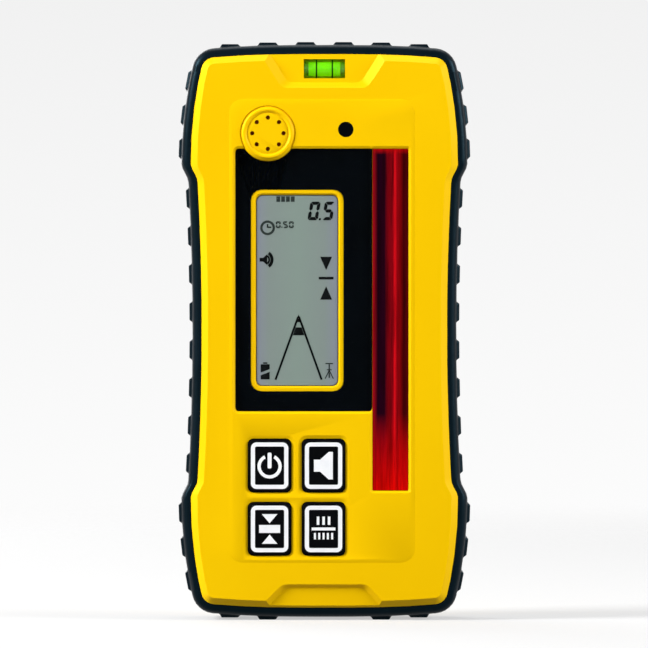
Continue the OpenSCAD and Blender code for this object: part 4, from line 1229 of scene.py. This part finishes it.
@dataclass
class Studio:
    """A pale floor that fades into a white surround, and soft lamps.

    Attributes:
        aim: the point that the lamps face.
        floor_sides: number of edges round the floor.
        floor_solid_share: share of the floor's radius inside which it hasn't begun to fade.
        floor_colour: the floor to the eye.
        floor_shed: the duller floor that sheds light on the object, as a small sheet would.
        floor_white: how far the floor turns to plain white to the eye, which softens its shadows.
        ambient: strength of the surround's own light.
        surround_low: the surround to the eye below the horizon, and surround_high above it.
        horizon: slope of the line of sight, up and down, between which the one turns to the other.
    """

    aim: tuple[float, float, float] = (0.0, 0.0, 84.0)
    floor_radius: float = 1300.0
    floor_sides: int = 96
    floor_solid_share: float = 0.35
    floor_colour: str = "#d0d0d0"
    floor_shed: str = "#707070"
    floor_white: float = 0.5
    ambient: float = 0.16
    surround_low: str = "#ffffff"
    surround_high: str = "#f1f1f1"
    horizon: float = 0.05
    lamps: tuple[Lamp, ...] = (
        Lamp("key_softbox", (-1035.0, -414.0, 664.0), 450.0, 25.2),
        Lamp("side_softbox", (1161.0, -391.0, 519.0), 600.0, 16.1),
        Lamp("fill_softbox", (0.0, -1600.0, 300.0), 900.0, 3.0),
        Lamp("top_softbox", (100.0, 500.0, 1250.0), 800.0, 4.0),
        Lamp("back_softbox", (-650.0, 1050.0, 550.0), 900.0, 12.0),
    )

    def build(self) -> None:
        """Sets up the floor, the surround and the lamps."""
        self.build_floor()
        self.build_surround()
        for lamp in self.lamps:
            lamp.build(Vector(self.aim) * MM)

    def build_floor(self) -> None:
        """Lays the floor, which takes the shadow and fades out at its rim."""
        made = bpy.data.materials.new("matt_pale_floor")
        tree = empty_tree(made)
        place = add_node(tree, "TexCoord").outputs["Object"]
        scale = (1 / (self.floor_radius * MM),) * 3
        moved = add_node(tree, "Mapping", {"Scale": scale}, {"Vector": place})
        inward = add_node(tree, "TexGradient", {"gradient_type": "SPHERICAL"}, {"Vector": moved})
        fade = {"From Max": 1 - self.floor_solid_share, "interpolation_type": "SMOOTHSTEP"}
        share = add_node(tree, "MapRange", fade, {"Value": inward.outputs[1]})
        seen = seen_rays(tree)
        shed, shown = linear(self.floor_shed), linear(self.floor_colour)
        settings = {"data_type": "RGBA", COLOUR_A: shed, COLOUR_B: shown}
        colour = add_node(tree, "Mix", settings, {0: seen}).outputs[MIXED]
        matt = add_node(tree, "BsdfDiffuse", links={"Color": colour})
        white = add_node(tree, "Emission", {"Color": linear(self.surround_low)})
        part = add_node(tree, "Math", {"operation": "MULTIPLY", 1: self.floor_white}, {0: seen})
        sheet = add_node(tree, "MixShader", links={0: part, 1: matt, 2: white})
        clear = add_node(tree, "BsdfTransparent")
        mixed = add_node(tree, "MixShader", links={0: share, 1: clear, 2: sheet})
        add_node(tree, "OutputMaterial", links={"Surface": mixed})
        bm = bmesh.new()
        bmesh.ops.create_circle(bm, cap_ends=True, segments=self.floor_sides, radius=self.floor_radius * MM)
        floor = add_mesh("studio_floor", bm, made)
        LOG.info("studio_floor takes the shadow")

    def build_surround(self) -> None:
        """Makes the world white to the eye, to gloss and through clear parts, and a soft grey light."""
        world = bpy.data.worlds.new("white_surround")
        bpy.context.scene.world = world
        tree = empty_tree(world)
        way = add_node(tree, "TexCoord").outputs["Generated"]
        up = add_node(tree, "SeparateXYZ", links={"Vector": way}).outputs["Z"]
        spread = {"From Min": -self.horizon, "From Max": self.horizon}
        share = add_node(tree, "MapRange", spread, {"Value": up})
        low, high = linear(self.surround_low), linear(self.surround_high)
        settings = {"data_type": "RGBA", COLOUR_A: low, COLOUR_B: high}
        white = add_node(tree, "Mix", settings, {0: share}).outputs[MIXED]
        seen = add_node(tree, "Background", links={"Color": white})
        soft = add_node(tree, "Background", {"Strength": self.ambient})
        mixed = add_node(tree, "MixShader", links={0: seen_rays(tree), 1: soft, 2: seen})
        add_node(tree, "OutputWorld", links={"Surface": mixed})


@dataclass
class PhotoCamera:
    """A long lens straight in front, framed as the photograph is.

    Attributes:
        view_width: width that the square picture covers at the outline's plane.
        plane_y: that plane.
        distance: distance from that plane to the lens, and far the distance that it sees.
        centre: X and Z at the picture's middle.
    """

    view_width: float = 188.94
    plane_y: float = -7.0
    distance: float = 2000.0
    far: float = 100000.0
    centre: Point = (-0.12, 85.98)
    sensor: float = 36.0

    def build(self) -> None:
        """Makes the camera and the view settings."""
        data = bpy.data.cameras.new("photo_camera")
        data.sensor_width = self.sensor
        data.lens = self.sensor * self.distance / self.view_width
        data.clip_end = self.far * MM
        camera = add_object("photo_camera", data)
        camera.location = Vector((self.centre[0], self.plane_y - self.distance, self.centre[1])) * MM
        camera.rotation_euler = (QUARTER_TURN, 0.0, 0.0)
        bpy.context.scene.camera = camera
        bpy.context.scene.view_settings.view_transform = "Standard"


def main() -> None:
    """Loads the frame, builds each sub-assembly in order and sets up the studio."""
    logging.basicConfig(level=logging.INFO, format="%(name)s: %(message)s")
    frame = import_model()
    PhotoCamera().build()
    kinds = (
        Case, Bumper, FrontDisplay, ReceiveWindow, Keypad, Speaker, LightSensor, LevelVial, RearDisplay,
        Electronics, ClampMount, BatteryBay,
    )
    for kind in kinds:
        kind(frame).build()
    Studio().build()


if __name__ == "__main__":
    main()
